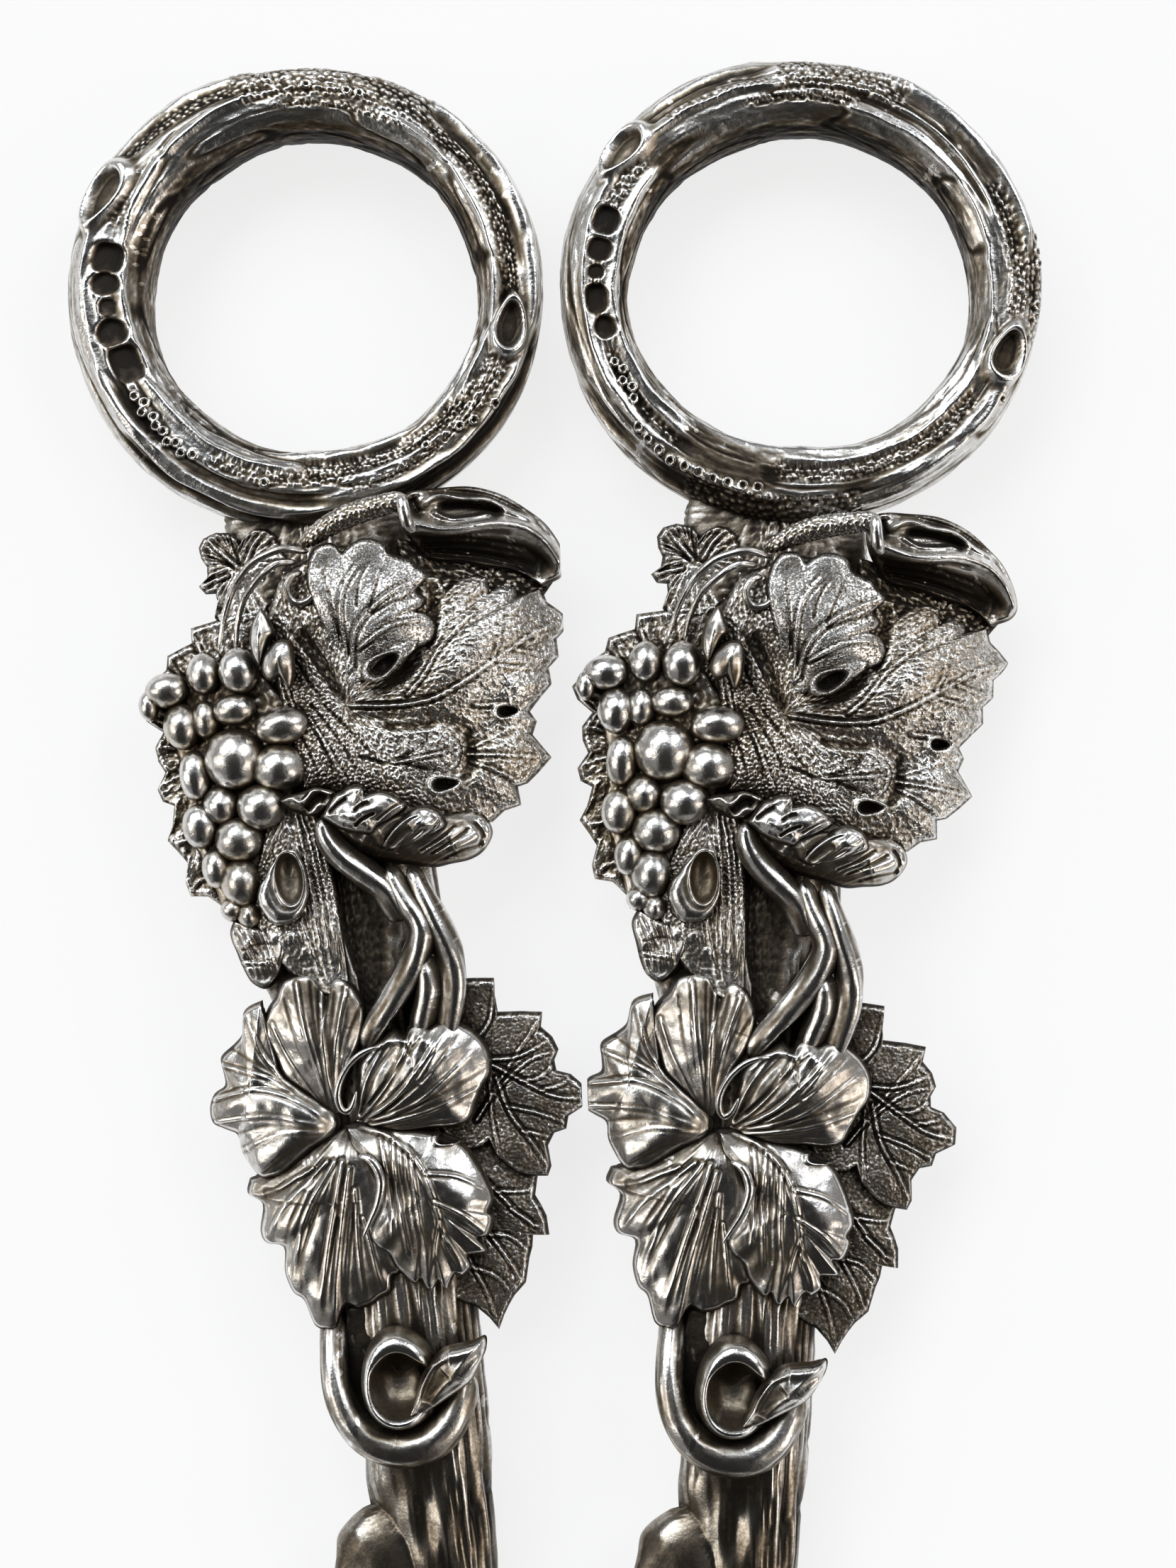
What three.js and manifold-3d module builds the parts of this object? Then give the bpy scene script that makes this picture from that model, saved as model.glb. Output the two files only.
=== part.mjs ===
// Grape shears: two cast vine handles with finger rings, lapped on one pivot screw, a cutter and a holder.
// Millimetres, +Z up. The pivot is the Z axis, the rings lie towards +Y and the blades towards -Y.
// The shears lie closed on the plane z = 0, resting on both rings and on the end of the pivot screw.
import * as THREE from "three";
import { mergeVertices } from "three/addons/utils/BufferGeometryUtils.js";
import Module from "manifold-3d";

// Clearances
const SEAT_GAP = 0.3; // between castings that are soldered on to each other
const RUNNING_GAP = 0.2; // between the lapped blades, and under the screw's head and end
const BORE_GAP = 0.15; // round the pivot screw
const PARTING_GAP = 0.4; // between the two closed arms
const CUT_OVERRUN = 1; // how far a cutting solid passes what it cuts
const WELD = 0.001; // corners nearer than this are one corner

// The arms
const RING_REACH = 121.4; // pivot to the ring's centre, along the arm
const ARM_OFFSET = 8.2; // pivot to the arm's line, across
const ARM_LEAN_DEG = 4.4; // each arm's line to the middle of the shears
const STEM_FOOT = 24; // pivot to the foot of the cast stem, along the arm
const RIGHT_RING_DROP = 1; // the right casting sits a little nearer to the pivot
const RIGHT_VINE_DROP = 1.9;
const VINE_HALF_SPREAD = 15; // stem line to the widest leaf tips

// Finger rings, across and along the arm
const LEFT_RING = { outerAcross: 16.9, outerAlong: 16.4, holeAcross: 11.4, holeAlong: 11, holeShift: 0.7 };
const RIGHT_RING = { outerAcross: 17.1, outerAlong: 16.5, holeAcross: 12, holeAlong: 11, holeShift: 0.1 };
const RING_HALF_HEIGHT = 3;
const BARK_DEPTH_SHARE = 0.07; // ridges along the ring, of its thickness
const BARK_RIDGES = 4;
const RING_STEPS = 36;
const RING_SIDES = 8;

// Pruned branch scars on the rings
const SCAR_HALF_WIDTH = 1.1;
const SCAR_HALF_LENGTH = 2;
const SCAR_PROUD = 0.5;
const SCAR_WALL = 0.4;
const SCAR_DEPTH = 0.6;
const SCAR_SIDES = 10;
const SCAR_TURNS_DEG = [147, -17]; // round the ring
const SCAR_ROLL_DEG = 48; // from the outside towards the top

// Cast stem: each row is along, centre, half width and half height as shares
const STEM_HALF_WIDTH = 7.6;
const STEM_HALF_HEIGHT = 2.7;
const STEM_LEVEL = 3.5; // height of the stem's axis
const STEM_SIDES = 14;
const STEM_BARK_SHARE = 0.04;
const STEM_RIDGES = 6;
const STEM_SHARES = [
  [0, -0.02, 0.47, 0.97],
  [0.086, -0.033, 0.51, 1],
  [0.173, -0.053, 0.6, 1],
  [0.259, -0.06, 0.65, 1],
  [0.383, -0.053, 0.66, 1],
  [0.506, -0.067, 0.7, 1],
  [0.593, -0.127, 0.85, 1],
  [0.654, -0.167, 0.98, 1],
  [0.716, -0.153, 0.94, 1],
  [0.815, -0.08, 0.82, 1],
  [0.914, -0.053, 0.75, 1],
  [0.975, -0.067, 0.8, 1],
  [1.02, -0.067, 0.96, 0.96],
];

// Swollen knot low on the outside of the stem, at shares of the vine's spread and length
const BURL_PLACE_SHARES = [-0.34, 0.095];
const BURL_HALF_WIDTH = 4;
const BURL_HALF_LENGTH = 6.2;
const BURL_HALF_HEIGHT = 2.5;
const BURL_DETAIL = 1;

// Leaves: thickness, and how the sheets fall from the stem's crest to the tips
const LEAF_THICKNESS = 1.2;
const LEAF_CREST = 6.6; // underside of a leaf that lies over the stem
const LEAF_FALL = 3.4; // crest down to the level of the widest tips
const VEIN_RISE = 0.35;
const VEIN_SPREAD_DEG = 12;
const LEAF_RINGS = 3;
const UPPER_LEAF_STEP_DEG = 12; // widest turn between two points of a leaf's edge
const FRONT_LEAF_STEP_DEG = 14;
const LEAF_STEP_DEG = 20;
const SMALL_LEAF_STEP_DEG = 24;

// Each leaf edge is a row of turns in degrees from +X and reaches as shares of the leaf's reach
const UPPER_LEAF_REACH = 16.7;
const UPPER_LEAF_PLACE_SHARES = [-0.013, 0.841];
const UPPER_LEAF_EDGE_SHARES = [
  [-160, 0.2], [-111, 0.39], [-88, 0.43], [-70, 0.47], [-56, 0.72], [-46, 0.755], [-39, 0.72],
  [-32, 0.8], [-20, 0.87], [-13, 0.79], [-6, 0.76], [2, 0.84], [15, 1], [21, 0.91], [27, 0.93],
  [34, 0.78], [40, 0.63], [54, 0.68], [68, 0.68], [80, 0.66], [92, 0.71], [104, 0.6], [123, 0.38],
  [150, 0.22],
];
const UPPER_LEAF_VEINS_DEG = [16, -22, -52, 60, 92, -100];

const FRONT_LEAF_REACH = 14.8;
const FRONT_LEAF_PLACE_SHARES = [-0.24, 0.485];
const FRONT_LEAF_EDGE_SHARES = [
  [-167, 0.5], [-153, 0.59], [-145, 0.57], [-125, 0.68], [-112, 0.84], [-105, 1], [-97, 0.96],
  [-84, 0.82], [-73, 0.86], [-65, 0.88], [-52, 0.88], [-41, 0.83], [-36, 0.72], [-20, 0.6], [-4, 0.59],
  [17, 0.75], [26, 0.81], [33, 0.76], [48, 0.62], [58, 0.5], [64, 0.43], [70, 0.54], [78, 0.6],
  [88, 0.71], [99, 0.75], [104, 0.69], [109, 0.72], [119, 0.73], [129, 0.7], [135, 0.62], [149, 0.68],
  [158, 0.64], [167, 0.66], [173, 0.63], [183, 0.52],
];
const FRONT_LEAF_VEINS_DEG = [-105, -65, 26, 96, 150, -155];

const BACK_LEAF_REACH = 13.8;
const BACK_LEAF_PLACE_SHARES = [0.2, 0.457];
const BACK_LEAF_EDGE_SHARES = [
  [-103, 0.9], [-92, 0.95], [-83, 1], [-76, 0.88], [-63, 0.78], [-49, 0.7], [-38, 0.55], [-30, 0.51],
  [-20, 0.57], [-11, 0.55], [1, 0.62], [15, 0.79], [26, 0.7], [37, 0.79], [43, 0.75], [48, 0.83],
  [56, 0.74], [62, 0.74], [67, 0.87], [80, 0.85], [100, 0.5], [150, 0.25], [200, 0.25], [240, 0.45],
];
const BACK_LEAF_VEINS_DEG = [-82, -45, 15, 48, 70];
const BACK_LEAF_CREST = 4.2;
const BACK_LEAF_FALL = 1.6;

const GRAPE_LEAF_REACH = 10.5;
const GRAPE_LEAF_PLACE_SHARES = [-0.433, 0.806];
const GRAPE_LEAF_EDGE_SHARES = [
  [-30, 0.25], [45, 0.3], [85, 0.7], [104, 0.98], [113, 1.02], [118, 0.92], [128, 0.96], [138, 0.9],
  [149, 0.95], [158, 0.75], [168, 0.78], [185, 0.69], [190, 0.77], [202, 0.7], [212, 0.87], [224, 0.86],
  [233, 1.02], [242, 1], [265, 0.8], [290, 0.4],
];
const GRAPE_LEAF_VEINS_DEG = [110, 149, 190, 215, 236];
const GRAPE_LEAF_CREST = 3.7;
const GRAPE_LEAF_FALL = 1.4;

const SMALL_LEAF_REACH = 4.3;
const SMALL_LEAF_PLACE_SHARES = [-0.4, 0.97];
const SMALL_LEAF_EDGE_SHARES = [
  [-40, 0.3], [60, 0.4], [105, 0.75], [122, 0.88], [141, 1], [151, 0.96], [167, 0.73], [182, 0.73],
  [192, 0.91], [209, 0.85], [225, 0.96], [250, 0.7], [290, 0.4],
];
const SMALL_LEAF_VEINS_DEG = [140, 192, 225];
const SMALL_LEAF_CREST = 3.6;
const SMALL_LEAF_FALL = 0.8;

// Swellings of the leaf sheets where a lobe folds over: place, and half width
const UPPER_FOLD = { placeShares: [0.17, 0.93], rise: 1.1, halfWidth: 2.6 };
const UPPER_LOBE = { placeShares: [0.33, 0.795], rise: 0.7, halfWidth: 2.2 };
const FRONT_FOLD = { placeShares: [0.17, 0.527], rise: 1.1, halfWidth: 2.8 };

// Small blind hollows in the leaves: place, half length, half width and turn
const HOLLOW_DEPTH = 0.7;
const HOLLOW_DETAIL = 1;
const UPPER_HOLLOWS = [
  { placeShares: [0.22, 0.873], halfLength: 1.3, halfWidth: 0.55, turnDeg: -35 },
  { placeShares: [0.76, 0.835], halfLength: 0.7, halfWidth: 0.4, turnDeg: 80 },
];
const FRONT_HOLLOWS = [
  { placeShares: [-0.21, 0.519], halfLength: 1.5, halfWidth: 0.5, turnDeg: 80 },
  { placeShares: [-0.14, 0.442], halfLength: 1.2, halfWidth: 0.6, turnDeg: 70 },
  { placeShares: [0.23, 0.468], halfLength: 0.7, halfWidth: 0.4, turnDeg: 60 },
];

// Grapes: across, along and radius as shares
const GRAPE_RADIUS = 1.9; // the largest grape
const GRAPE_LEVEL = 5.3; // centres over the leaf, beside the stem
const GRAPE_STEM_RISE = 1.2; // centres over the stem lie higher by this
const GRAPE_RISE_SHARES = [-0.75, -0.45]; // across the vine, where that rise starts and ends
const GRAPE_SIDES = 7;
const SMALL_GRAPE_SIDES = 6;
const SMALL_GRAPE_SHARE = 0.65; // grapes below this share get the fewer sides
const BUNCH_BED_HEIGHT = 1.4;
const BUNCH_BED_DROP = 0.5; // its middle, below the grapes' centres
const BUNCH_BED_SIDES = 12;
// Each bed's middle, then its half width and half length as shares
const BUNCH_BEDS = [
  { placeShares: [-0.66, 0.79], acrossShare: 0.25, alongShare: 0.12 },
  { placeShares: [-0.4, 0.83], acrossShare: 0.17, alongShare: 0.1 },
  { placeShares: [-0.54, 0.735], acrossShare: 0.15, alongShare: 0.085 },
];
const GRAPE_SHARES = [
  [-0.833, 0.874, 0.56], [-0.66, 0.885, 0.62], [-0.5, 0.884, 0.67], [-0.787, 0.844, 0.62],
  [-0.68, 0.848, 0.5], [-0.533, 0.853, 0.69], [-0.333, 0.833, 0.67], [-0.573, 0.81, 1],
  [-0.347, 0.798, 0.82], [-0.76, 0.799, 0.71], [-0.647, 0.773, 0.64], [-0.46, 0.769, 0.75],
  [-0.773, 0.758, 0.62], [-0.58, 0.74, 0.78], [-0.693, 0.725, 0.52], [-0.6, 0.701, 0.6],
  [-0.55, 0.676, 0.42], [-0.53, 0.662, 0.36], [-0.57, 0.688, 0.45],
];
const SEPAL_LENGTH = 3.8;
const SEPAL_RADIUS = 0.75;
const SEPAL_SIDES = 6;
const SEPALS = [
  { placeShares: [-0.36, 0.925], turnDeg: -115 },
  { placeShares: [-0.26, 0.895], turnDeg: -98 },
];

// Round strands: radius and a path of across, along and height above the stem's crest, as shares
const STRAND_SIDES = 5;
const STRAND_STEPS = 7;
const STRAND_LIFT = 1.3; // full share of a path's height
const STALK_RADIUS = 0.6;
const STALK_PATH_SHARES = [
  [[-0.13, 0.99, 1], [-0.39, 0.972, 0.9], [-0.51, 0.948, 0.5], [-0.545, 0.912, 0.3]],
  [[-0.2, 0.968, 1], [-0.39, 0.953, 0.9], [-0.46, 0.932, 0.6], [-0.5, 0.912, 0.3]],
];
const TENDRIL_RADIUS = 0.6;
const TENDRIL_PATH_SHARES = [
  [[-0.2, 0.742, 0.75], [-0.067, 0.699, 0.75], [0.06, 0.674, 0.75], [0.1, 0.644, 0.75], [0.13, 0.622, 0.75],
    [0.02, 0.59, 0.75]],
  [[-0.13, 0.756, 0.75], [0.02, 0.712, 0.75], [0.155, 0.685, 0.7], [0.2, 0.652, 0.7], [0.2, 0.62, 0.75],
    [0.05, 0.586, 0.75]],
];
const HOOK_RADIUS = 0.95;
const HOOK_PATH_SHARES = [
  [[-0.45, 0.295, -0.5], [-0.42, 0.249, 0.3], [-0.34, 0.222, 0.75], [-0.24, 0.204, 0.95],
    [-0.127, 0.196, 0.95], [-0.027, 0.206, 0.95], [0.067, 0.223, 0.95], [0.13, 0.245, 0.8],
    [0.21, 0.262, 0.5]],
];

// Rolled leaves: a path with a half width share at each point
const ROLL_HALF_HEIGHT = 1.5;
const ROLL_GROOVE_SHARE = 0.35;
const ROLL_GROOVE_SPREAD_DEG = 20;
const ROLL_SIDES = 9;
const ROLL_STEPS = 9;
const BRACT_HALF_WIDTH = 2.6;
const BRACT_LEVEL = 6.3;
const BRACT_SHARES = [
  [0.03, 0.982, 0.5], [0.27, 0.988, 0.8], [0.52, 0.985, 1], [0.78, 0.972, 1], [0.95, 0.955, 0.8],
  [1.03, 0.938, 0.35],
];
const CURL_HALF_WIDTH = 2.5;
const CURL_LEVEL = 8.4;
const CURL_SHARES = [
  [-0.13, 0.752, 0.55], [0.03, 0.742, 0.95], [0.2, 0.731, 1], [0.37, 0.721, 0.85], [0.5, 0.717, 0.6],
  [0.575, 0.721, 0.25],
];

// Teardrop knot beside the bunch
const KNOT_PLACE_SHARES = [-0.367, 0.702];
const KNOT_HALF_WIDTH = 1.75;
const KNOT_LENGTH = 4.4;
const KNOT_HEIGHT = 1.6;
const KNOT_WALL_SHARE = 0.45;
const KNOT_LEVEL = 6.2;
const KNOT_SIDES = 14;
const TEARDROP_POWER = 1.5; // how sharply the knot narrows to its point

// Bud with a hollow cup, drawn out to a spike
const BUD_PLACE_SHARES = [-0.107, 0.263];
const BUD_RADIUS = 2.8;
const BUD_HEIGHT = 2.6;
const BUD_CUP_RADIUS = 1.8;
const BUD_CUP_DEPTH = 1.5;
const BUD_LEVEL = 6.4;
const BUD_SIDES = 14;
const BUD_PROFILE_SHARES = [[0.8, 0], [1, 0.4], [0.93, 0.8], [0.78, 1]]; // radius and height
const BUD_CUP_DETAIL = 2;
const SPIKE_SHARES = [[-0.02, 0.27, 1], [0.12, 0.279, 0.75], [0.22, 0.285, 0.45], [0.31, 0.288, 0.12]];
const SPIKE_HALF_WIDTH = 1.9;
const SPIKE_SIDES = 8;

// Pivot, boss and blades
const BLADE_THICKNESS = 2.6;
const SCREW_END_HEIGHT = 0.6;
const SCREW_END_RADIUS = 2.8;
const SCREW_RADIUS = 1.9;
const SCREW_HEAD_RADIUS = 3.5;
const SCREW_HEAD_HEIGHT = 1.3;
const SCREW_SLOT_WIDTH = 0.7;
const SCREW_SLOT_DEPTH = 0.6;
const SCREW_SLOT_TURN_DEG = 35;
const SCREW_CROWN_SHARES = [0.8, 0.9]; // radius and height of the edge of the head's crown
const ROUND_SIDES = 24;
const BOSS_RADIUS = 5.6;
const NECK_TURN_DEG = 25; // each neck leans this far from the middle line
const NECK_HALF_WIDTH = 2.9;
const SHANK_END = 8.8; // pivot to the foot of the shank
const BLADE_LENGTH = 56;
const CUTTER_EDGE = 3.4; // middle line to the cutting edges
const CUTTER_BACK = 4.9;
const HOLDER_BACK = 5.6;
const BEVEL_WIDTH = 2.2;
const BEVEL_LAND = 0.4;
const FLANGE_THICKNESS = 1.3;
const FLANGE_START = 9; // pivot to the flange, along the blade
const FLANGE_END_SHARE = 0.93;
// Along the blade, then the back and the edge, as shares
const BLADE_OUTLINE_SHARES = [
  [0.05, 0.8, 0.85], [0.3, 1, 1], [0.62, 0.97, 1], [0.85, 0.82, 0.97], [0.95, 0.55, 0.75], [1, 0.1, 0.35],
];

// Shanks from the cast stems to the necks
const SHANK_STEPS = 14;
const SHANK_SIDES = 12;
const SHANK_TOP_PULL = 7; // length of the straight run under the stem
const SHANK_FOOT_PULL = 5;
const SHANK_FOOT_HALF_WIDTH = 2.9;
const COLLAR_PROUD = 0.5;
const COLLAR_PLACE_SHARES = [0.1, 0.2, 0.82];
const COLLAR_SPREAD_SHARE = 0.05;

// Worked out from the sizes above
const LOWER_FLOOR = SCREW_END_HEIGHT + RUNNING_GAP;
const LOWER_ROOF = LOWER_FLOOR + BLADE_THICKNESS;
const UPPER_FLOOR = LOWER_ROOF + RUNNING_GAP;
const UPPER_ROOF = UPPER_FLOOR + BLADE_THICKNESS;
const VINE_LENGTH = RING_REACH - LEFT_RING.outerAlong - STEM_FOOT;
const STEM_CREST = STEM_LEVEL + STEM_HALF_HEIGHT;
const ARM_LEAN = THREE.MathUtils.degToRad(ARM_LEAN_DEG);
const FAR = RING_REACH + BLADE_LENGTH;

const UP = new THREE.Vector3(0, 0, 1);
const FULL_TURN = 2 * Math.PI;
const FULL_TURN_DEG = 360;
const wasm = await Module();
wasm.setup();

const ARMS = [
  { name: "left", side: -1, ring: LEFT_RING, ringDrop: 0, vineDrop: 0 },
  { name: "right", side: 1, ring: RIGHT_RING, ringDrop: RIGHT_RING_DROP, vineDrop: RIGHT_VINE_DROP },
];

const MATERIALS = {
  ring: new THREE.MeshStandardMaterial({ color: 0xa09b93, metalness: 0.95, roughness: 0.36 }),
  stem: new THREE.MeshStandardMaterial({ color: 0x7a7269, metalness: 0.9, roughness: 0.45 }),
  polished: new THREE.MeshStandardMaterial({ color: 0xb4b0aa, metalness: 1, roughness: 0.2 }),
  matte: new THREE.MeshStandardMaterial({ color: 0x857e73, metalness: 0.9, roughness: 0.5 }),
  grape: new THREE.MeshStandardMaterial({ color: 0xc4c1bb, metalness: 1, roughness: 0.14 }),
  steel: new THREE.MeshStandardMaterial({ color: 0xc9c9c7, metalness: 1, roughness: 0.25 }),
};

// Solids

function solidOf(geometry) {
  const bare = geometry.index ? geometry.toNonIndexed() : geometry.clone();
  bare.deleteAttribute("normal");
  bare.deleteAttribute("uv");
  const merged = mergeVertices(bare, WELD);
  return new wasm.Manifold(
    new wasm.Mesh({
      numProp: 3,
      vertProperties: merged.attributes.position.array,
      triVerts: new Uint32Array(merged.index.array),
    }),
  );
}

function geometryOf(solid) {
  const mesh = solid.getMesh();
  const geometry = new THREE.BufferGeometry();
  geometry.setAttribute("position", new THREE.BufferAttribute(new Float32Array(mesh.vertProperties), 3));
  geometry.setIndex(new THREE.BufferAttribute(new Uint32Array(mesh.triVerts), 1));
  const faceted = geometry.toNonIndexed();
  faceted.computeVertexNormals();
  return faceted;
}

function join(solids) {
  return solids.reduce((whole, next) => whole.add(next));
}

function cut(solid, cutters) {
  return cutters.reduce((left, cutter) => left.subtract(cutter), solid);
}

// The largest body, without the crumbs that a cut along a rough edge can leave.
function mainBody(solid) {
  const bodies = solid.decompose();
  return bodies.reduce((best, next) => (next.volume() > best.volume() ? next : best));
}

// A closed skin over sections whose points run counterclockwise round the way ahead.
function loft(sections, joined = false) {
  const corners = [];
  const face = (a, b, c) => corners.push(...a.toArray(), ...b.toArray(), ...c.toArray());
  const spans = joined ? sections.length : sections.length - 1;
  for (let i = 0; i < spans; i += 1) {
    const here = sections[i];
    const next = sections[(i + 1) % sections.length];
    here.forEach((point, j) => {
      const k = (j + 1) % here.length;
      face(point, here[k], next[k]);
      face(point, next[k], next[j]);
    });
  }
  if (!joined) {
    capWith(face, sections[0], false);
    capWith(face, sections.at(-1), true);
  }
  const geometry = new THREE.BufferGeometry();
  geometry.setAttribute("position", new THREE.Float32BufferAttribute(corners, 3));
  return solidOf(geometry);
}

function capWith(face, section, ahead) {
  const middle = section.reduce((sum, point) => sum.add(point), new THREE.Vector3());
  middle.divideScalar(section.length);
  section.forEach((point, j) => {
    const next = section[(j + 1) % section.length];
    if (ahead) face(point, next, middle);
    else face(next, point, middle);
  });
}

// An oval section square to the way ahead. shapeAt draws it in or out at each turn round it.
function ovalSection(centre, ahead, halfWidth, halfHeight, sides, shapeAt = () => 1) {
  const across = UP.clone().cross(ahead).normalize();
  const rise = ahead.clone().cross(across).normalize();
  return Array.from({ length: sides }, (_, i) => {
    const turn = (FULL_TURN * (i + 0.5)) / sides;
    const swell = shapeAt(turn);
    return centre
      .clone()
      .addScaledVector(across, halfWidth * swell * Math.cos(turn))
      .addScaledVector(rise, halfHeight * swell * Math.sin(turn));
  });
}

function ellipsoid(centre, halfSizes, detail, turn = 0) {
  const geometry = new THREE.IcosahedronGeometry(1, detail);
  geometry.scale(...halfSizes);
  geometry.rotateZ(turn);
  geometry.translate(...centre);
  return solidOf(geometry);
}

// Places on the vine, from shares of its half spread and its length
function across(share) {
  return share * VINE_HALF_SPREAD;
}

function along(share) {
  return share * VINE_LENGTH;
}

function mix(a, b, share) {
  return a + (b - a) * share;
}

function interpolate(rows, at) {
  let i = 0;
  while (i < rows.length - 2 && at > rows[i + 1][0]) i += 1;
  const [low, high] = [rows[i], rows[i + 1]];
  const share = (at - low[0]) / (high[0] - low[0]);
  return low.map((value, k) => mix(value, high[k], share));
}

// Finger rings

function ringMiddle(arm) {
  return RING_REACH - arm.ringDrop - (STEM_FOOT - arm.vineDrop);
}

function ringSection(arm, turn, grow) {
  const { outerAcross, outerAlong, holeAcross, holeAlong, holeShift } = arm.ring;
  const outer = new THREE.Vector3(outerAcross * Math.cos(turn), outerAlong * Math.sin(turn), 0);
  const inner = new THREE.Vector3(holeAcross * Math.cos(turn) + holeShift, holeAlong * Math.sin(turn), 0);
  const centre = outer.clone().add(inner).multiplyScalar(0.5);
  centre.add(new THREE.Vector3(0, ringMiddle(arm), RING_HALF_HEIGHT));
  const half = outer.clone().sub(inner).multiplyScalar(0.5);
  half.setLength(half.length() + grow);
  return { centre, half };
}

function ringSkin(arm, grow) {
  const sections = Array.from({ length: RING_STEPS }, (_, i) => {
    const { centre, half } = ringSection(arm, (FULL_TURN * i) / RING_STEPS, grow);
    return Array.from({ length: RING_SIDES }, (_unused, j) => {
      const roll = (FULL_TURN * j) / RING_SIDES;
      const ridge = grow > 0 ? 1 : 1 - BARK_DEPTH_SHARE * (0.5 - 0.5 * Math.cos(BARK_RIDGES * roll));
      const point = centre.clone().addScaledVector(half, ridge * Math.cos(roll));
      point.z -= ridge * (RING_HALF_HEIGHT + grow) * Math.sin(roll);
      point.z = Math.max(point.z, -grow);
      return point;
    });
  });
  return loft(sections, true);
}

function scarPlug(arm, turnDeg, halfWidth, halfLength, from, to) {
  const turn = THREE.MathUtils.degToRad(turnDeg);
  const roll = THREE.MathUtils.degToRad(SCAR_ROLL_DEG);
  const { centre, half } = ringSection(arm, turn, 0);
  const outward = half.clone().normalize().multiplyScalar(Math.cos(roll));
  outward.addScaledVector(UP, Math.sin(roll));
  const surface = centre.clone().addScaledVector(half, Math.cos(roll));
  surface.z += RING_HALF_HEIGHT * Math.sin(roll);
  const plug = new THREE.CylinderGeometry(1, 1, to - from, SCAR_SIDES);
  plug.translate(0, (from + to) / 2, 0);
  plug.scale(halfWidth, 1, halfLength);
  const ahead = new THREE.Vector3(-Math.sin(turn), Math.cos(turn), 0);
  const sideways = outward.clone().cross(ahead);
  const frame = new THREE.Matrix4().makeBasis(sideways, outward, sideways.clone().cross(outward));
  plug.applyMatrix4(frame.setPosition(surface));
  return solidOf(plug);
}

function fingerRing(arm, grow = 0) {
  if (grow > 0) return ringSkin(arm, grow);
  const plugs = SCAR_TURNS_DEG.map((turn) =>
    scarPlug(arm, turn, SCAR_HALF_WIDTH, SCAR_HALF_LENGTH, -RING_HALF_HEIGHT / 2, SCAR_PROUD),
  );
  const [innerWidth, innerLength] = [SCAR_HALF_WIDTH - SCAR_WALL, SCAR_HALF_LENGTH - SCAR_WALL];
  const hollows = SCAR_TURNS_DEG.map((turn) =>
    scarPlug(arm, turn, innerWidth, innerLength, -SCAR_DEPTH, CUT_OVERRUN),
  );
  return cut(join([ringSkin(arm, 0), ...plugs]), hollows);
}

// Stems

function vineStem(arm, grow = 0) {
  const bark = (turn) => 1 - STEM_BARK_SHARE * (0.5 - 0.5 * Math.cos(STEM_RIDGES * turn));
  const sections = STEM_SHARES.map(([ahead, middle, width, height], i) => {
    const end = (i === 0 ? -grow : 0) + (i === STEM_SHARES.length - 1 ? grow : 0);
    const centre = new THREE.Vector3(across(middle), along(ahead) + end, STEM_LEVEL);
    return ovalSection(
      centre,
      new THREE.Vector3(0, 1, 0),
      width * STEM_HALF_WIDTH + grow,
      height * STEM_HALF_HEIGHT + grow,
      STEM_SIDES,
      grow > 0 ? undefined : bark,
    );
  });
  const burl = ellipsoid(
    [across(BURL_PLACE_SHARES[0]), along(BURL_PLACE_SHARES[1]), STEM_LEVEL],
    [BURL_HALF_WIDTH + grow, BURL_HALF_LENGTH + grow, BURL_HALF_HEIGHT + grow],
    BURL_DETAIL,
  );
  return loft(sections).add(burl);
}

// Leaves

function edgeReach(edge, turnDeg) {
  const first = edge[0][0];
  const wrapped = THREE.MathUtils.euclideanModulo(turnDeg - first, FULL_TURN_DEG) + first;
  const closing = [first + FULL_TURN_DEG, edge[0][1]];
  return interpolate([...edge, closing], wrapped)[1];
}

function turnBetween(a, b) {
  const apart = Math.abs(a - b) % FULL_TURN_DEG;
  return Math.min(apart, FULL_TURN_DEG - apart);
}

function leafTop(leaf, x, y, turnDeg, share) {
  const fall = leaf.fall * (x / VINE_HALF_SPREAD) ** 2;
  const veins = leaf.veins.map((vein) => Math.exp(-((turnBetween(vein, turnDeg) / VEIN_SPREAD_DEG) ** 2)));
  const ribs = VEIN_RISE * Math.max(...veins) * Math.sin(Math.PI * Math.min(share, 1));
  const swells = (leaf.swells || []).map(({ placeShares, rise, halfWidth }) => {
    const [dx, dy] = [x - across(placeShares[0]), y - along(placeShares[1])];
    return rise * Math.exp(-(dx * dx + dy * dy) / (2 * halfWidth * halfWidth));
  });
  return leaf.crest + LEAF_THICKNESS - fall + ribs + swells.reduce((sum, swell) => sum + swell, 0);
}

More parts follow.
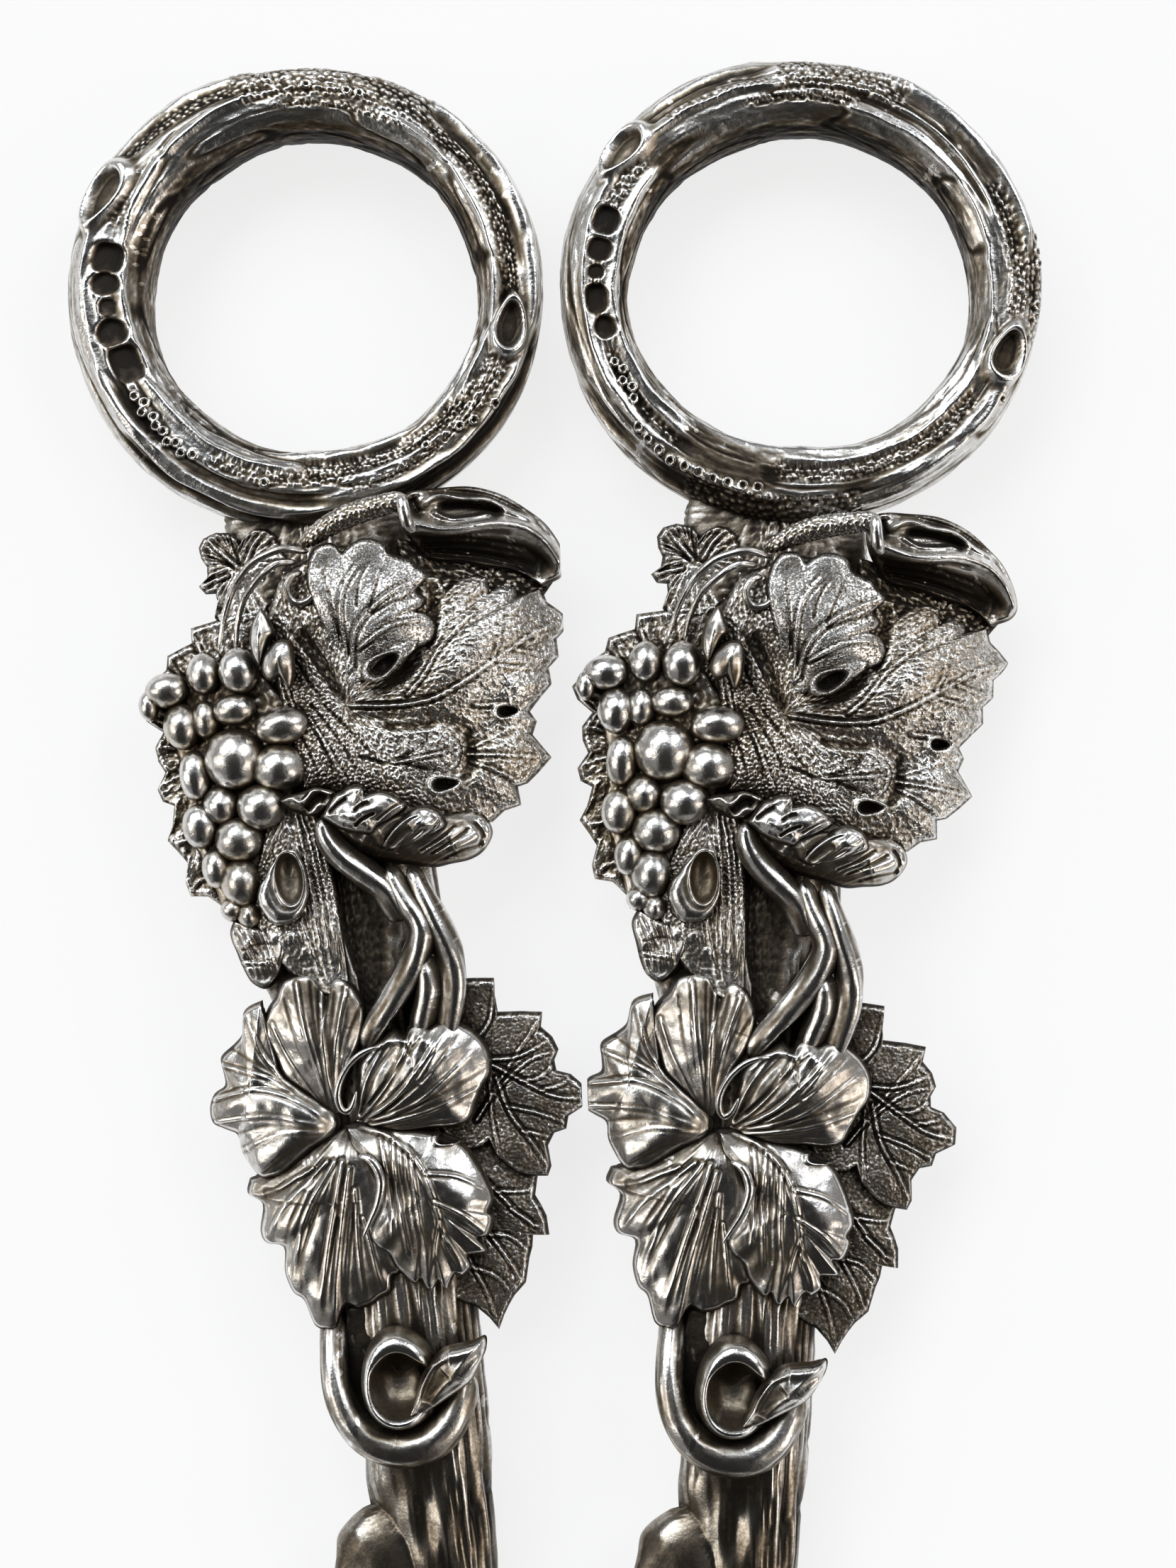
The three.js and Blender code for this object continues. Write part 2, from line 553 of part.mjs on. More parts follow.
// A lobed sheet: rings of points round the vein junction, on the top face and on the underside.
function leafSheet(leaf, grow = 0) {
  const turns = leaf.edge.flatMap(([turn], i) => {
    const next = i + 1 < leaf.edge.length ? leaf.edge[i + 1][0] : leaf.edge[0][0] + FULL_TURN_DEG;
    const splits = Math.max(1, Math.round((next - turn) / leaf.stepDeg));
    return Array.from({ length: splits }, (_, k) => mix(turn, next, k / splits));
  });
  const [midX, midY] = [across(leaf.place[0]), along(leaf.place[1])];
  const ringAt = (share, below) =>
    turns.map((turnDeg) => {
      const turn = THREE.MathUtils.degToRad(turnDeg);
      const reach = (leaf.reach * edgeReach(leaf.edge, turnDeg) + grow) * share;
      const [x, y] = [midX + reach * Math.cos(turn), midY + reach * Math.sin(turn)];
      const top = leafTop(leaf, x, y, turnDeg, share);
      return new THREE.Vector3(x, y, below ? top - LEAF_THICKNESS - grow : top + grow);
    });
  const outward = Array.from({ length: LEAF_RINGS }, (_, i) => (i + 1) / LEAF_RINGS);
  const under = outward.map((share) => ringAt(share, true));
  const over = outward.toReversed().map((share) => ringAt(share, false));
  return loft([...under, ...over]);
}

function leafOf(place, reach, edge, veins, crest, fall, stepDeg, swells = [], hollows = []) {
  return { place, reach, edge, veins, crest, fall, stepDeg, swells, hollows };
}

const LEAVES = {
  upper: leafOf(
    UPPER_LEAF_PLACE_SHARES, UPPER_LEAF_REACH, UPPER_LEAF_EDGE_SHARES, UPPER_LEAF_VEINS_DEG,
    LEAF_CREST, LEAF_FALL, UPPER_LEAF_STEP_DEG, [UPPER_FOLD, UPPER_LOBE], UPPER_HOLLOWS,
  ),
  front: leafOf(
    FRONT_LEAF_PLACE_SHARES, FRONT_LEAF_REACH, FRONT_LEAF_EDGE_SHARES, FRONT_LEAF_VEINS_DEG,
    LEAF_CREST, LEAF_FALL, FRONT_LEAF_STEP_DEG, [FRONT_FOLD], FRONT_HOLLOWS,
  ),
  back: leafOf(
    BACK_LEAF_PLACE_SHARES, BACK_LEAF_REACH, BACK_LEAF_EDGE_SHARES, BACK_LEAF_VEINS_DEG,
    BACK_LEAF_CREST, BACK_LEAF_FALL, LEAF_STEP_DEG,
  ),
  grape: leafOf(
    GRAPE_LEAF_PLACE_SHARES, GRAPE_LEAF_REACH, GRAPE_LEAF_EDGE_SHARES, GRAPE_LEAF_VEINS_DEG,
    GRAPE_LEAF_CREST, GRAPE_LEAF_FALL, LEAF_STEP_DEG,
  ),
  small: leafOf(
    SMALL_LEAF_PLACE_SHARES, SMALL_LEAF_REACH, SMALL_LEAF_EDGE_SHARES, SMALL_LEAF_VEINS_DEG,
    SMALL_LEAF_CREST, SMALL_LEAF_FALL, SMALL_LEAF_STEP_DEG,
  ),
};

function leafSolid(leaf, grow = 0) {
  const sheet = leafSheet(leaf, grow);
  if (grow > 0) return sheet;
  const pits = leaf.hollows.map(({ placeShares, halfLength, halfWidth, turnDeg }) => {
    const [x, y] = [across(placeShares[0]), along(placeShares[1])];
    const top = leafTop(leaf, x, y, turnDeg, 0);
    const turn = THREE.MathUtils.degToRad(turnDeg);
    return ellipsoid([x, y, top], [halfLength, halfWidth, HOLLOW_DEPTH], HOLLOW_DETAIL, turn);
  });
  return cut(sheet, pits);
}

// Grapes and their stalk

function grapeLevel(x) {
  const [start, end] = GRAPE_RISE_SHARES.map(across);
  const share = THREE.MathUtils.smoothstep(x, start, end);
  return GRAPE_LEVEL + GRAPE_STEM_RISE * share;
}

function grapeBunch(grow = 0) {
  const grapes = GRAPE_SHARES.map(([u, v, size]) => {
    const radius = size * GRAPE_RADIUS + grow;
    const sides = size < SMALL_GRAPE_SHARE ? SMALL_GRAPE_SIDES : GRAPE_SIDES;
    const grape = new THREE.SphereGeometry(radius, sides, Math.floor(sides / 2) + 1);
    grape.rotateX(Math.PI / 2);
    grape.translate(across(u), along(v), grapeLevel(across(u)));
    return solidOf(grape);
  });
  const beds = BUNCH_BEDS.map(({ placeShares, acrossShare, alongShare }) => {
    const [x, y] = [across(placeShares[0]), along(placeShares[1])];
    const bed = new THREE.CylinderGeometry(1, 1, BUNCH_BED_HEIGHT + grow + grow, BUNCH_BED_SIDES);
    bed.rotateX(Math.PI / 2);
    bed.scale(across(acrossShare) + grow, along(alongShare) + grow, 1);
    bed.translate(x, y, grapeLevel(x) - BUNCH_BED_DROP);
    return solidOf(bed);
  });
  const sepals = SEPALS.map(({ placeShares, turnDeg }) => {
    const cone = new THREE.ConeGeometry(SEPAL_RADIUS + grow, SEPAL_LENGTH + grow, SEPAL_SIDES);
    cone.rotateZ(THREE.MathUtils.degToRad(turnDeg + 90));
    const [x, y] = [across(placeShares[0]), along(placeShares[1])];
    const lead = SEPAL_LENGTH / 2;
    const turn = THREE.MathUtils.degToRad(turnDeg);
    const level = grapeLevel(x) - BUNCH_BED_DROP + BUNCH_BED_HEIGHT / 2;
    cone.translate(x + lead * Math.cos(turn), y + lead * Math.sin(turn), level);
    return solidOf(cone);
  });
  return join([...beds, ...grapes, ...sepals]);
}

function pathOf(shares, level, lift) {
  return new THREE.CatmullRomCurve3(
    shares.map(([u, v, height]) => new THREE.Vector3(across(u), along(v), level + lift * height)),
  );
}

function strand(shares, radius, steps, grow) {
  const path = pathOf(shares, STEM_CREST, STRAND_LIFT);
  const sections = Array.from({ length: steps + 1 }, (_, i) => {
    const share = i / steps;
    const ahead = path.getTangentAt(share);
    const centre = path.getPointAt(share);
    if (i === 0) centre.addScaledVector(ahead, -grow);
    if (i === steps) centre.addScaledVector(ahead, grow);
    return ovalSection(centre, ahead, radius + grow, radius + grow, STRAND_SIDES);
  });
  return loft(sections);
}

function strands(paths, radius, grow = 0) {
  return join(paths.map((shares) => strand(shares, radius, STRAND_STEPS, grow)));
}

// Rolled leaves

function rolledLeaf(shares, halfWidth, level, grow = 0) {
  const path = new THREE.CatmullRomCurve3(
    shares.map(([u, v]) => new THREE.Vector3(across(u), along(v), level - (LEAF_FALL * u * u) / 2)),
  );
  const widths = shares.map(([, , width], i) => [i / (shares.length - 1), width]);
  const spread = THREE.MathUtils.degToRad(ROLL_GROOVE_SPREAD_DEG);
  const groove = (turn) => 1 - ROLL_GROOVE_SHARE * Math.exp(-(((turn - Math.PI / 2) / spread) ** 2));
  const sections = Array.from({ length: ROLL_STEPS + 1 }, (_, i) => {
    const share = i / ROLL_STEPS;
    const width = interpolate(widths, share)[1];
    const height = ROLL_HALF_HEIGHT * Math.sqrt(width);
    return ovalSection(
      path.getPoint(share),
      path.getTangent(share),
      width * halfWidth + grow,
      height + grow,
      ROLL_SIDES,
      grow > 0 ? undefined : groove,
    );
  });
  return loft(sections);
}

// Teardrop knot, open through its middle

function teardrop(halfWidth, length, sides) {
  return Array.from({ length: sides }, (_, i) => {
    const turn = (FULL_TURN * i) / sides;
    const taper = Math.sin(turn / 2) ** TEARDROP_POWER;
    return new THREE.Vector2(-halfWidth * Math.sin(turn) * taper, (length / 2) * Math.cos(turn));
  });
}

function raised(outline, rows, placeShares) {
  const [x, y] = [across(placeShares[0]), along(placeShares[1])];
  return loft(
    rows.map(([scale, height]) =>
      outline.map((point) => new THREE.Vector3(x + point.x * scale, y + point.y * scale, height)),
    ),
  );
}

function knot(grow = 0) {
  const outline = teardrop(KNOT_HALF_WIDTH + grow, KNOT_LENGTH + grow + grow, KNOT_SIDES);
  const top = KNOT_LEVEL + KNOT_HEIGHT / 2 + grow;
  const bottom = KNOT_LEVEL - KNOT_HEIGHT / 2 - grow;
  const rows = [[1, bottom], [1, KNOT_LEVEL + grow], [1 - KNOT_WALL_SHARE / 2, top]];
  const boss = raised(outline, rows, KNOT_PLACE_SHARES);
  if (grow > 0) return boss;
  const pit = raised(
    outline,
    [[(1 - KNOT_WALL_SHARE) / 2, bottom - CUT_OVERRUN], [1 - KNOT_WALL_SHARE, top + CUT_OVERRUN]],
    KNOT_PLACE_SHARES,
  );
  return boss.subtract(pit);
}

// Hollow bud and its spike

function bud(grow = 0) {
  const radius = BUD_RADIUS + grow;
  const top = BUD_HEIGHT + grow;
  const side = BUD_PROFILE_SHARES.map(([wide, high]) => [radius * wide, mix(-grow, top, high)]);
  const profile = [[0, -grow], ...side, [0, top]];
  const body = new THREE.LatheGeometry(profile.map(([r, h]) => new THREE.Vector2(r, h)), BUD_SIDES);
  body.rotateX(Math.PI / 2);
  body.translate(across(BUD_PLACE_SHARES[0]), along(BUD_PLACE_SHARES[1]), BUD_LEVEL);
  const path = pathOf(SPIKE_SHARES, BUD_LEVEL + BUD_HEIGHT / 2, 0);
  const sections = SPIKE_SHARES.map(([, , width], i) => {
    const share = i / (SPIKE_SHARES.length - 1);
    const half = width * SPIKE_HALF_WIDTH;
    const [centre, ahead] = [path.getPoint(share), path.getTangent(share)];
    return ovalSection(centre, ahead, half + grow, half / 2 + grow, SPIKE_SIDES);
  });
  const whole = solidOf(body).add(loft(sections));
  if (grow > 0) return whole;
  const cup = ellipsoid(
    [across(BUD_PLACE_SHARES[0]), along(BUD_PLACE_SHARES[1]), BUD_LEVEL + BUD_HEIGHT],
    [BUD_CUP_RADIUS, BUD_CUP_RADIUS, BUD_CUP_DEPTH],
    BUD_CUP_DETAIL,
  );
  return whole.subtract(cup);
}

// Pieces of one arm in the order in which they are seated: each is cut clear of those before it.
function vinePieces(arm) {
  return [
    ["finger_ring", "ring", (grow) => fingerRing(arm, grow)],
    ["vine_stem", "stem", (grow) => vineStem(arm, grow)],
    ["small_leaf", "matte", (grow) => leafSolid(LEAVES.small, grow)],
    ["grape_leaf", "matte", (grow) => leafSolid(LEAVES.grape, grow)],
    ["knot", "polished", (grow) => knot(grow)],
    ["grape_bunch", "grape", (grow) => grapeBunch(grow)],
    ["grape_stalk", "polished", (grow) => strands(STALK_PATH_SHARES, STALK_RADIUS, grow)],
    ["top_bract", "polished", (grow) => rolledLeaf(BRACT_SHARES, BRACT_HALF_WIDTH, BRACT_LEVEL, grow)],
    ["upper_leaf", "matte", (grow) => leafSolid(LEAVES.upper, grow)],
    ["curled_leaf", "polished", (grow) => rolledLeaf(CURL_SHARES, CURL_HALF_WIDTH, CURL_LEVEL, grow)],
    ["tendril", "polished", (grow) => strands(TENDRIL_PATH_SHARES, TENDRIL_RADIUS, grow)],
    ["back_leaf", "matte", (grow) => leafSolid(LEAVES.back, grow)],
    ["front_leaf", "polished", (grow) => leafSolid(LEAVES.front, grow)],
    ["bud", "polished", (grow) => bud(grow)],
    ["hook", "polished", (grow) => strands(HOOK_PATH_SHARES, HOOK_RADIUS, grow)],
  ];
}

function armGroup(arm) {
  const group = new THREE.Group();
  group.rotation.z = -arm.side * ARM_LEAN;
  const vine = new THREE.Group();
  vine.position.set(arm.side * ARM_OFFSET, STEM_FOOT - arm.vineDrop, 0);
  group.add(vine);
  group.updateMatrixWorld(true);
  return { group, vine };
}

// Everything past the middle plane on the other arm's side, in the vine's own frame.
function partingCutter(arm, vine) {
  const box = new THREE.BoxGeometry(FAR, FAR + FAR, FAR);
  box.translate(-arm.side * (FAR / 2 - PARTING_GAP / 2), 0, 0);
  box.applyMatrix4(vine.matrixWorld.clone().invert());
  return solidOf(box);
}

function addMesh(group, name, solid, material) {
  const mesh = new THREE.Mesh(geometryOf(solid), MATERIALS[material]);
  mesh.name = name;
  group.add(mesh);
}

function addVine(arm, root) {
  const { group, vine } = armGroup(arm);
  const beyond = partingCutter(arm, vine);
  const seated = [];
  vinePieces(arm).forEach(([name, material, make]) => {
    const solid = mainBody(cut(make(0), [...seated, beyond]));
    addMesh(vine, `${arm.name}_${name}`, solid, material);
    seated.push(make(SEAT_GAP));
  });
  root.add(group);
}

// Shanks

function shankPath(arm) {
  const lean = arm.side * ARM_LEAN;
  const upward = new THREE.Vector3(Math.sin(lean), Math.cos(lean), 0);
  const sideways = new THREE.Vector3(Math.cos(lean), -Math.sin(lean), 0);
  const offset = arm.side * ARM_OFFSET + across(STEM_SHARES[0][1]);
  const top = sideways.clone().multiplyScalar(offset);
  top.addScaledVector(upward, STEM_FOOT - arm.vineDrop - SEAT_GAP);
  top.z = STEM_LEVEL;
  const neck = neckDirection(arm);
  const foot = neck.clone().multiplyScalar(SHANK_END);
  foot.z = STEM_LEVEL;
  return new THREE.CubicBezierCurve3(
    top,
    top.clone().addScaledVector(upward, -SHANK_TOP_PULL),
    foot.clone().addScaledVector(neck, SHANK_FOOT_PULL),
    foot,
  );
}

function neckDirection(arm) {
  const turn = arm.side * THREE.MathUtils.degToRad(NECK_TURN_DEG);
  return new THREE.Vector3(Math.sin(turn), Math.cos(turn), 0);
}

function shank(arm) {
  const path = shankPath(arm);
  const topHalf = STEM_SHARES[0][2] * STEM_HALF_WIDTH;
  const sections = Array.from({ length: SHANK_STEPS + 1 }, (_, i) => {
    const share = i / SHANK_STEPS;
    const collarAt = (place) => Math.exp(-(((share - place) / COLLAR_SPREAD_SHARE) ** 2));
    const collars = COLLAR_PLACE_SHARES.map(collarAt);
    const proud = COLLAR_PROUD * Math.max(...collars);
    const halfWidth = mix(topHalf, SHANK_FOOT_HALF_WIDTH, share) + proud;
    const halfHeight = (UPPER_ROOF - LOWER_FLOOR) / 2;
    return ovalSection(path.getPoint(share), path.getTangent(share), halfWidth, halfHeight, SHANK_SIDES);
  });
  return loft(sections);
}

// Blades, each in its own layer of the lap

function extruded(points, floor, height) {
  const shape = new THREE.Shape(points.map(([x, y]) => new THREE.Vector2(x, y)));
  const geometry = new THREE.ExtrudeGeometry(shape, { depth: height, bevelEnabled: false });
  geometry.translate(0, 0, floor);
  return solidOf(geometry);
}

function disc(radius, floor, height) {
  const geometry = new THREE.CylinderGeometry(radius, radius, height, ROUND_SIDES);
  geometry.rotateX(Math.PI / 2);
  geometry.translate(0, 0, floor + height / 2);
  return solidOf(geometry);
}

function neckPlate(arm, floor) {
  const ahead = neckDirection(arm);
  const sideways = new THREE.Vector3(ahead.y, -ahead.x, 0);
  const reach = SHANK_END - SEAT_GAP;
  const corner = (side, length) => {
    const point = sideways.clone().multiplyScalar(side * NECK_HALF_WIDTH).addScaledVector(ahead, length);
    return [point.x, point.y];
  };
  const corners = [corner(1, 0), corner(1, reach), corner(-1, reach), corner(-1, 0)];
  return extruded(corners, floor, BLADE_THICKNESS);
}

// One blade's outline. Its back faces +X on the cutter and -X on the holder.
function bladePlate(backSide, back, floor, height = BLADE_THICKNESS) {
  const row = (k, half, side) =>
    BLADE_OUTLINE_SHARES.map((shares) => [side * half * shares[k], -BLADE_LENGTH * shares[0]]);
  const outline = [...row(1, back, backSide), ...row(2, CUTTER_EDGE, -backSide).toReversed()];
  return extruded(outline, floor, height);
}

// A wedge that grinds the blade down to its edge, on the face away from the other blade.
function bevelWedge(edgeSide, edgeLevel, faceLevel) {
  const shape = [
    [CUTTER_EDGE - BEVEL_WIDTH, faceLevel],
    [CUTTER_EDGE + CUT_OVERRUN, faceLevel],
    [CUTTER_EDGE + CUT_OVERRUN, edgeLevel],
    [CUTTER_EDGE, edgeLevel],
  ];
  const section = (y) => shape.map(([x, z]) => new THREE.Vector3(edgeSide * x, y, z));
  const rows = [section(-BOSS_RADIUS - CUT_OVERRUN), section(-BLADE_LENGTH - CUT_OVERRUN)];
  const wedge = loft(rows);
  return wedge.volume() < 0 ? loft(rows.map((row) => row.toReversed())) : wedge;
}

function bladeBase(arm, backSide, back, floor) {
  const boss = disc(BOSS_RADIUS, floor, BLADE_THICKNESS);
  return join([boss, neckPlate(arm, floor), bladePlate(backSide, back, floor)]);
}

function screwBore() {
  return disc(SCREW_RADIUS + BORE_GAP, -CUT_OVERRUN, UPPER_ROOF + CUT_OVERRUN + CUT_OVERRUN);
}

function cutterBlade(arm) {
  const base = bladeBase(arm, 1, CUTTER_BACK, UPPER_FLOOR);
  const wedge = bevelWedge(-1, UPPER_FLOOR + BEVEL_LAND, UPPER_ROOF + CUT_OVERRUN);
  return cut(base, [wedge, screwBore()]);
}

function holderBlade(arm) {
  const base = bladeBase(arm, -1, HOLDER_BACK, LOWER_FLOOR);
  const wedge = bevelWedge(1, LOWER_ROOF - BEVEL_LAND, LOWER_FLOOR - CUT_OVERRUN);
  const inner = -HOLDER_BACK + FLANGE_THICKNESS;
  const end = -BLADE_LENGTH * FLANGE_END_SHARE;
  const outline = [
    [-HOLDER_BACK, end],
    [inner, end],
    [inner, -FLANGE_START],
    [-HOLDER_BACK, -FLANGE_START],
  ];
  const fullHeight = UPPER_ROOF - LOWER_FLOOR;
  const wall = extruded(outline, LOWER_FLOOR, fullHeight);
  const flange = wall.intersect(bladePlate(-1, HOLDER_BACK, LOWER_FLOOR, fullHeight));
  return cut(base, [wedge, screwBore()]).add(flange);
}

function pivotScrew() {
  const head = UPPER_ROOF + RUNNING_GAP;
  const profile = [
    [0, 0],
    [SCREW_END_RADIUS, 0],
    [SCREW_END_RADIUS, SCREW_END_HEIGHT],
    [SCREW_RADIUS, SCREW_END_HEIGHT],
    [SCREW_RADIUS, head],
    [SCREW_HEAD_RADIUS, head],
    [SCREW_HEAD_RADIUS, head + SCREW_HEAD_HEIGHT / 2],
    [SCREW_HEAD_RADIUS * SCREW_CROWN_SHARES[0], head + SCREW_HEAD_HEIGHT * SCREW_CROWN_SHARES[1]],
    [0, head + SCREW_HEAD_HEIGHT],
  ];
  const body = new THREE.LatheGeometry(profile.map(([r, h]) => new THREE.Vector2(r, h)), ROUND_SIDES);
  body.rotateX(Math.PI / 2);
  const slotLength = SCREW_HEAD_RADIUS + SCREW_HEAD_RADIUS + CUT_OVERRUN;
  const slot = new THREE.BoxGeometry(slotLength, SCREW_SLOT_WIDTH, SCREW_SLOT_DEPTH + CUT_OVERRUN);
  slot.rotateZ(THREE.MathUtils.degToRad(SCREW_SLOT_TURN_DEG));
  slot.translate(0, 0, head + SCREW_HEAD_HEIGHT - SCREW_SLOT_DEPTH / 2 + CUT_OVERRUN / 2);
  return solidOf(body).subtract(solidOf(slot));
}

const shears = new THREE.Group();
shears.name = "grape_shears";
ARMS.forEach((arm) => {
  addVine(arm, shears);
  addMesh(shears, `${arm.name}_shank`, shank(arm), "polished");
});
addMesh(shears, "cutter_blade", cutterBlade(ARMS[0]), "steel");
addMesh(shears, "holder_blade", holderBlade(ARMS[1]), "steel");
addMesh(shears, "pivot_screw", pivotScrew(), "steel");

export default shears;
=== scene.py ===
import math

import bpy
import numpy as np
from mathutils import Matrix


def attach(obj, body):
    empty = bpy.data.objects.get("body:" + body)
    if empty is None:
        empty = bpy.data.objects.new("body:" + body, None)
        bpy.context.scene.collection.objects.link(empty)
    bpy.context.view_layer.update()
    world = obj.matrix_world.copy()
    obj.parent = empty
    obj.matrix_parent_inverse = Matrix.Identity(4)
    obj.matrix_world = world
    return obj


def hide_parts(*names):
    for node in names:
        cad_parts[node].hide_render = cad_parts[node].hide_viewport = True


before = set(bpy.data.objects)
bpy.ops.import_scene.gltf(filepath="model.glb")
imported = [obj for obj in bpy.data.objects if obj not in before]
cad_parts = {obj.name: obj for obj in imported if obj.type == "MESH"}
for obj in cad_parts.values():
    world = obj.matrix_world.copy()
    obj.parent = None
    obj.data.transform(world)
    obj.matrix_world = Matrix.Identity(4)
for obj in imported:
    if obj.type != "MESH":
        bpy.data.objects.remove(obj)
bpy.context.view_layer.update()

# Grape shears of aged silver. Sizes are in millimetres here, and become metres in to_row and the materials.
# Each vine handle is a casting from one pattern, so both arms share the leaves, grapes, strands and stem.
MM = 0.001
RING_REACH = 121.4
ARM_OFFSET = 8.2
ARM_LEAN = math.radians(4.4)
STEM_FOOT = 24
RING_HALF_HEIGHT = 3
SPREAD = 15
VINE_LENGTH = 81
STEM_CREST = 6.2
MIDDLE_GAP = 0.2
ARMS = [
    {"name": "left", "side": -1, "body": "left_arm", "ring_drop": 0, "vine_drop": 0, "seed": 11},
    {"name": "right", "side": 1, "body": "right_arm", "ring_drop": 1, "vine_drop": 1.9, "seed": 47},
]

# The photograph: its middle and the pivot, below its frame, in pixels, and how it looks down
PHOTO_MIDDLE = (829.5, 1106)
PIVOT_PIXEL = (876, 2812)
PHOTO_TILT = 0.0402
PIXEL = 0.05
FOCUS_LEVEL = 4
CAMERA_RISE = 180
FULL_TURN = 2 * math.pi


def photo_to_row(pixels, level):
    """Points on the plane at this level that the photograph shows at these pixels."""
    scale = PIXEL / math.hypot(1, PHOTO_TILT)

    def flat(step):
        x, y = step[..., 0], -step[..., 1]
        return scale * np.stack([x + PHOTO_TILT * y, y - PHOTO_TILT * x], -1)

    eye = flat(np.subtract(PHOTO_MIDDLE, PIVOT_PIXEL))
    nearness = (CAMERA_RISE + FOCUS_LEVEL - np.asarray(level, float)) / CAMERA_RISE
    return eye + (flat(np.asarray(pixels, float) - PIVOT_PIXEL) - eye) * nearness[..., None]


def row_to_vine(points, arm):
    """Row-frame points in an arm's vine frame: u across from the stem's line and w along from its foot."""
    turn = arm["side"] * ARM_LEAN
    u = points[..., 0] * math.cos(turn) - points[..., 1] * math.sin(turn)
    w = points[..., 0] * math.sin(turn) + points[..., 1] * math.cos(turn)
    return np.stack([u - arm["side"] * ARM_OFFSET, w - STEM_FOOT + arm["vine_drop"]], -1)


def vine_points(pixels, level_at):
    """Pixels of the left handle in its vine frame, for a surface whose level depends on u."""
    pixels = np.asarray(pixels, float)
    spots = row_to_vine(photo_to_row(pixels, np.full(len(pixels), FOCUS_LEVEL)), ARMS[0])
    for _ in range(3):
        spots = row_to_vine(photo_to_row(pixels, level_at(spots[:, 0])), ARMS[0])
    return spots


def to_row(points, arm):
    """Vine-frame points in millimetres to the row frame in metres, kept off the plane between the arms."""
    turn = -arm["side"] * ARM_LEAN
    x = points[..., 0] + arm["side"] * ARM_OFFSET
    y = points[..., 1] + STEM_FOOT - arm["vine_drop"]
    across = x * math.cos(turn) - y * math.sin(turn)
    across = arm["side"] * np.maximum(arm["side"] * across, MIDDLE_GAP)
    return np.stack([across, x * math.sin(turn) + y * math.cos(turn), points[..., 2]], -1) * MM


# Tables are text. A point is "x,y" in the photograph's pixels or "x,y,rise", semicolons part the rows, and
# a row gives its points first and then its plain numbers.

def read_points(text):
    return [tuple(map(float, word.split(","))) for word in text.split()]


def read_numbers(text):
    return [tuple(map(float, row.split())) for row in text.split(";")]


def read_rows(text):
    rows = []
    for row in filter(str.strip, text.split(";")):
        words = row.split()
        path = [word for word in words if "," in word]
        rows.append((read_points(" ".join(path)), *map(float, words[len(path):])))
    return rows


# Shapes and noise

OCTAVES = 3
WORD_MASK = 0xFFFFFFFF
HASH_SEED = 2654435761
HASH_PRIMES = (73856093, 19349663, 83492791)
HASH_STEPS = ((15, 2246822519), (13, 3266489917))
BEAD_ROWS_CLOSER = 1.12
BEAD_LEAST = 0.42
BEAD_SPREAD = 0.2
BEAD_MOST = 0.62


def smoothstep(low, high, value):
    share = np.clip((value - low) / (high - low), 0, 1)
    return share * share * (3 - 2 * share)


def fade(low, high, value):
    return 1 - smoothstep(low, high, value)


def bell(away):
    return np.exp(-away ** 2)


def stacked(*parts):
    return np.stack(np.broadcast_arrays(*parts), -1)


def heading(turns):
    return np.stack([np.cos(turns), np.sin(turns)], -1)


def unit(vectors):
    return vectors / np.linalg.norm(vectors, axis=-1, keepdims=True)


def full_turn(steps):
    return np.linspace(0, FULL_TURN, steps, endpoint=False)


def hashed(cells, seed):
    """A repeatable number from 0 to 1 for each whole-number cell."""
    mask = np.uint64(WORD_MASK)
    number = np.full(cells.shape[:-1], seed * HASH_SEED & WORD_MASK, np.uint64)
    for k, prime in enumerate(HASH_PRIMES[: cells.shape[-1]]):
        number = number ^ ((cells[..., k] * prime).astype(np.int64).view(np.uint64) & mask)
        for shift, factor in HASH_STEPS:
            number = ((number ^ (number >> np.uint64(shift))) * np.uint64(factor)) & mask
    return (number ^ (number >> np.uint64(16))) / float(WORD_MASK)


def noise(points, size, seed):
    """Smooth noise from -1 to 1 over points of two or three dimensions, with lumps of this size."""
    scaled = np.asarray(points, float) / size
    floor = np.floor(scaled).astype(np.int64)
    share = smoothstep(0, 1, scaled - floor)
    total, dims = 0, scaled.shape[-1]
    for corner in range(2 ** dims):
        bits = np.array([(corner >> k) & 1 for k in range(dims)])
        total = total + np.prod(np.where(bits == 1, share, 1 - share), -1) * hashed(floor + bits, seed)
    return 2 * total - 1


def rough_noise(points, size, seed):
    return sum(noise(points, size / 2 ** k, seed + k) / 2 ** k for k in range(OCTAVES)) / 1.6


def pebbles(points, size, seed, jitter):
    """Height from 0 to 1 of closely packed beads of uneven sizes over points of two dimensions."""
    scaled = np.asarray(points, float) / size * (1, BEAD_ROWS_CLOSER)
    row = np.floor(scaled[..., 1]).astype(np.int64)
    height = np.zeros(scaled.shape[:-1])
    for dy in (-1, 0, 1):
        shift = ((row + dy) % 2) * 0.5
        column = np.floor(scaled[..., 0] - shift).astype(np.int64)
        for dx in (-1, 0, 1):
            cell = np.stack([column + dx, row + dy], -1)
            across = scaled[..., 0] - shift - cell[..., 0] - 0.5 - jitter * (2 * hashed(cell, seed) - 1)
            along = scaled[..., 1] - cell[..., 1] - 0.5 - jitter * (2 * hashed(cell, seed + 1) - 1)
            radius = BEAD_LEAST + BEAD_SPREAD * hashed(cell, seed + 2)
            bead = np.sqrt(np.clip(1 - (across ** 2 + along ** 2) / radius ** 2, 0, 1))
            height = np.maximum(height, bead * radius / BEAD_MOST)
    return height


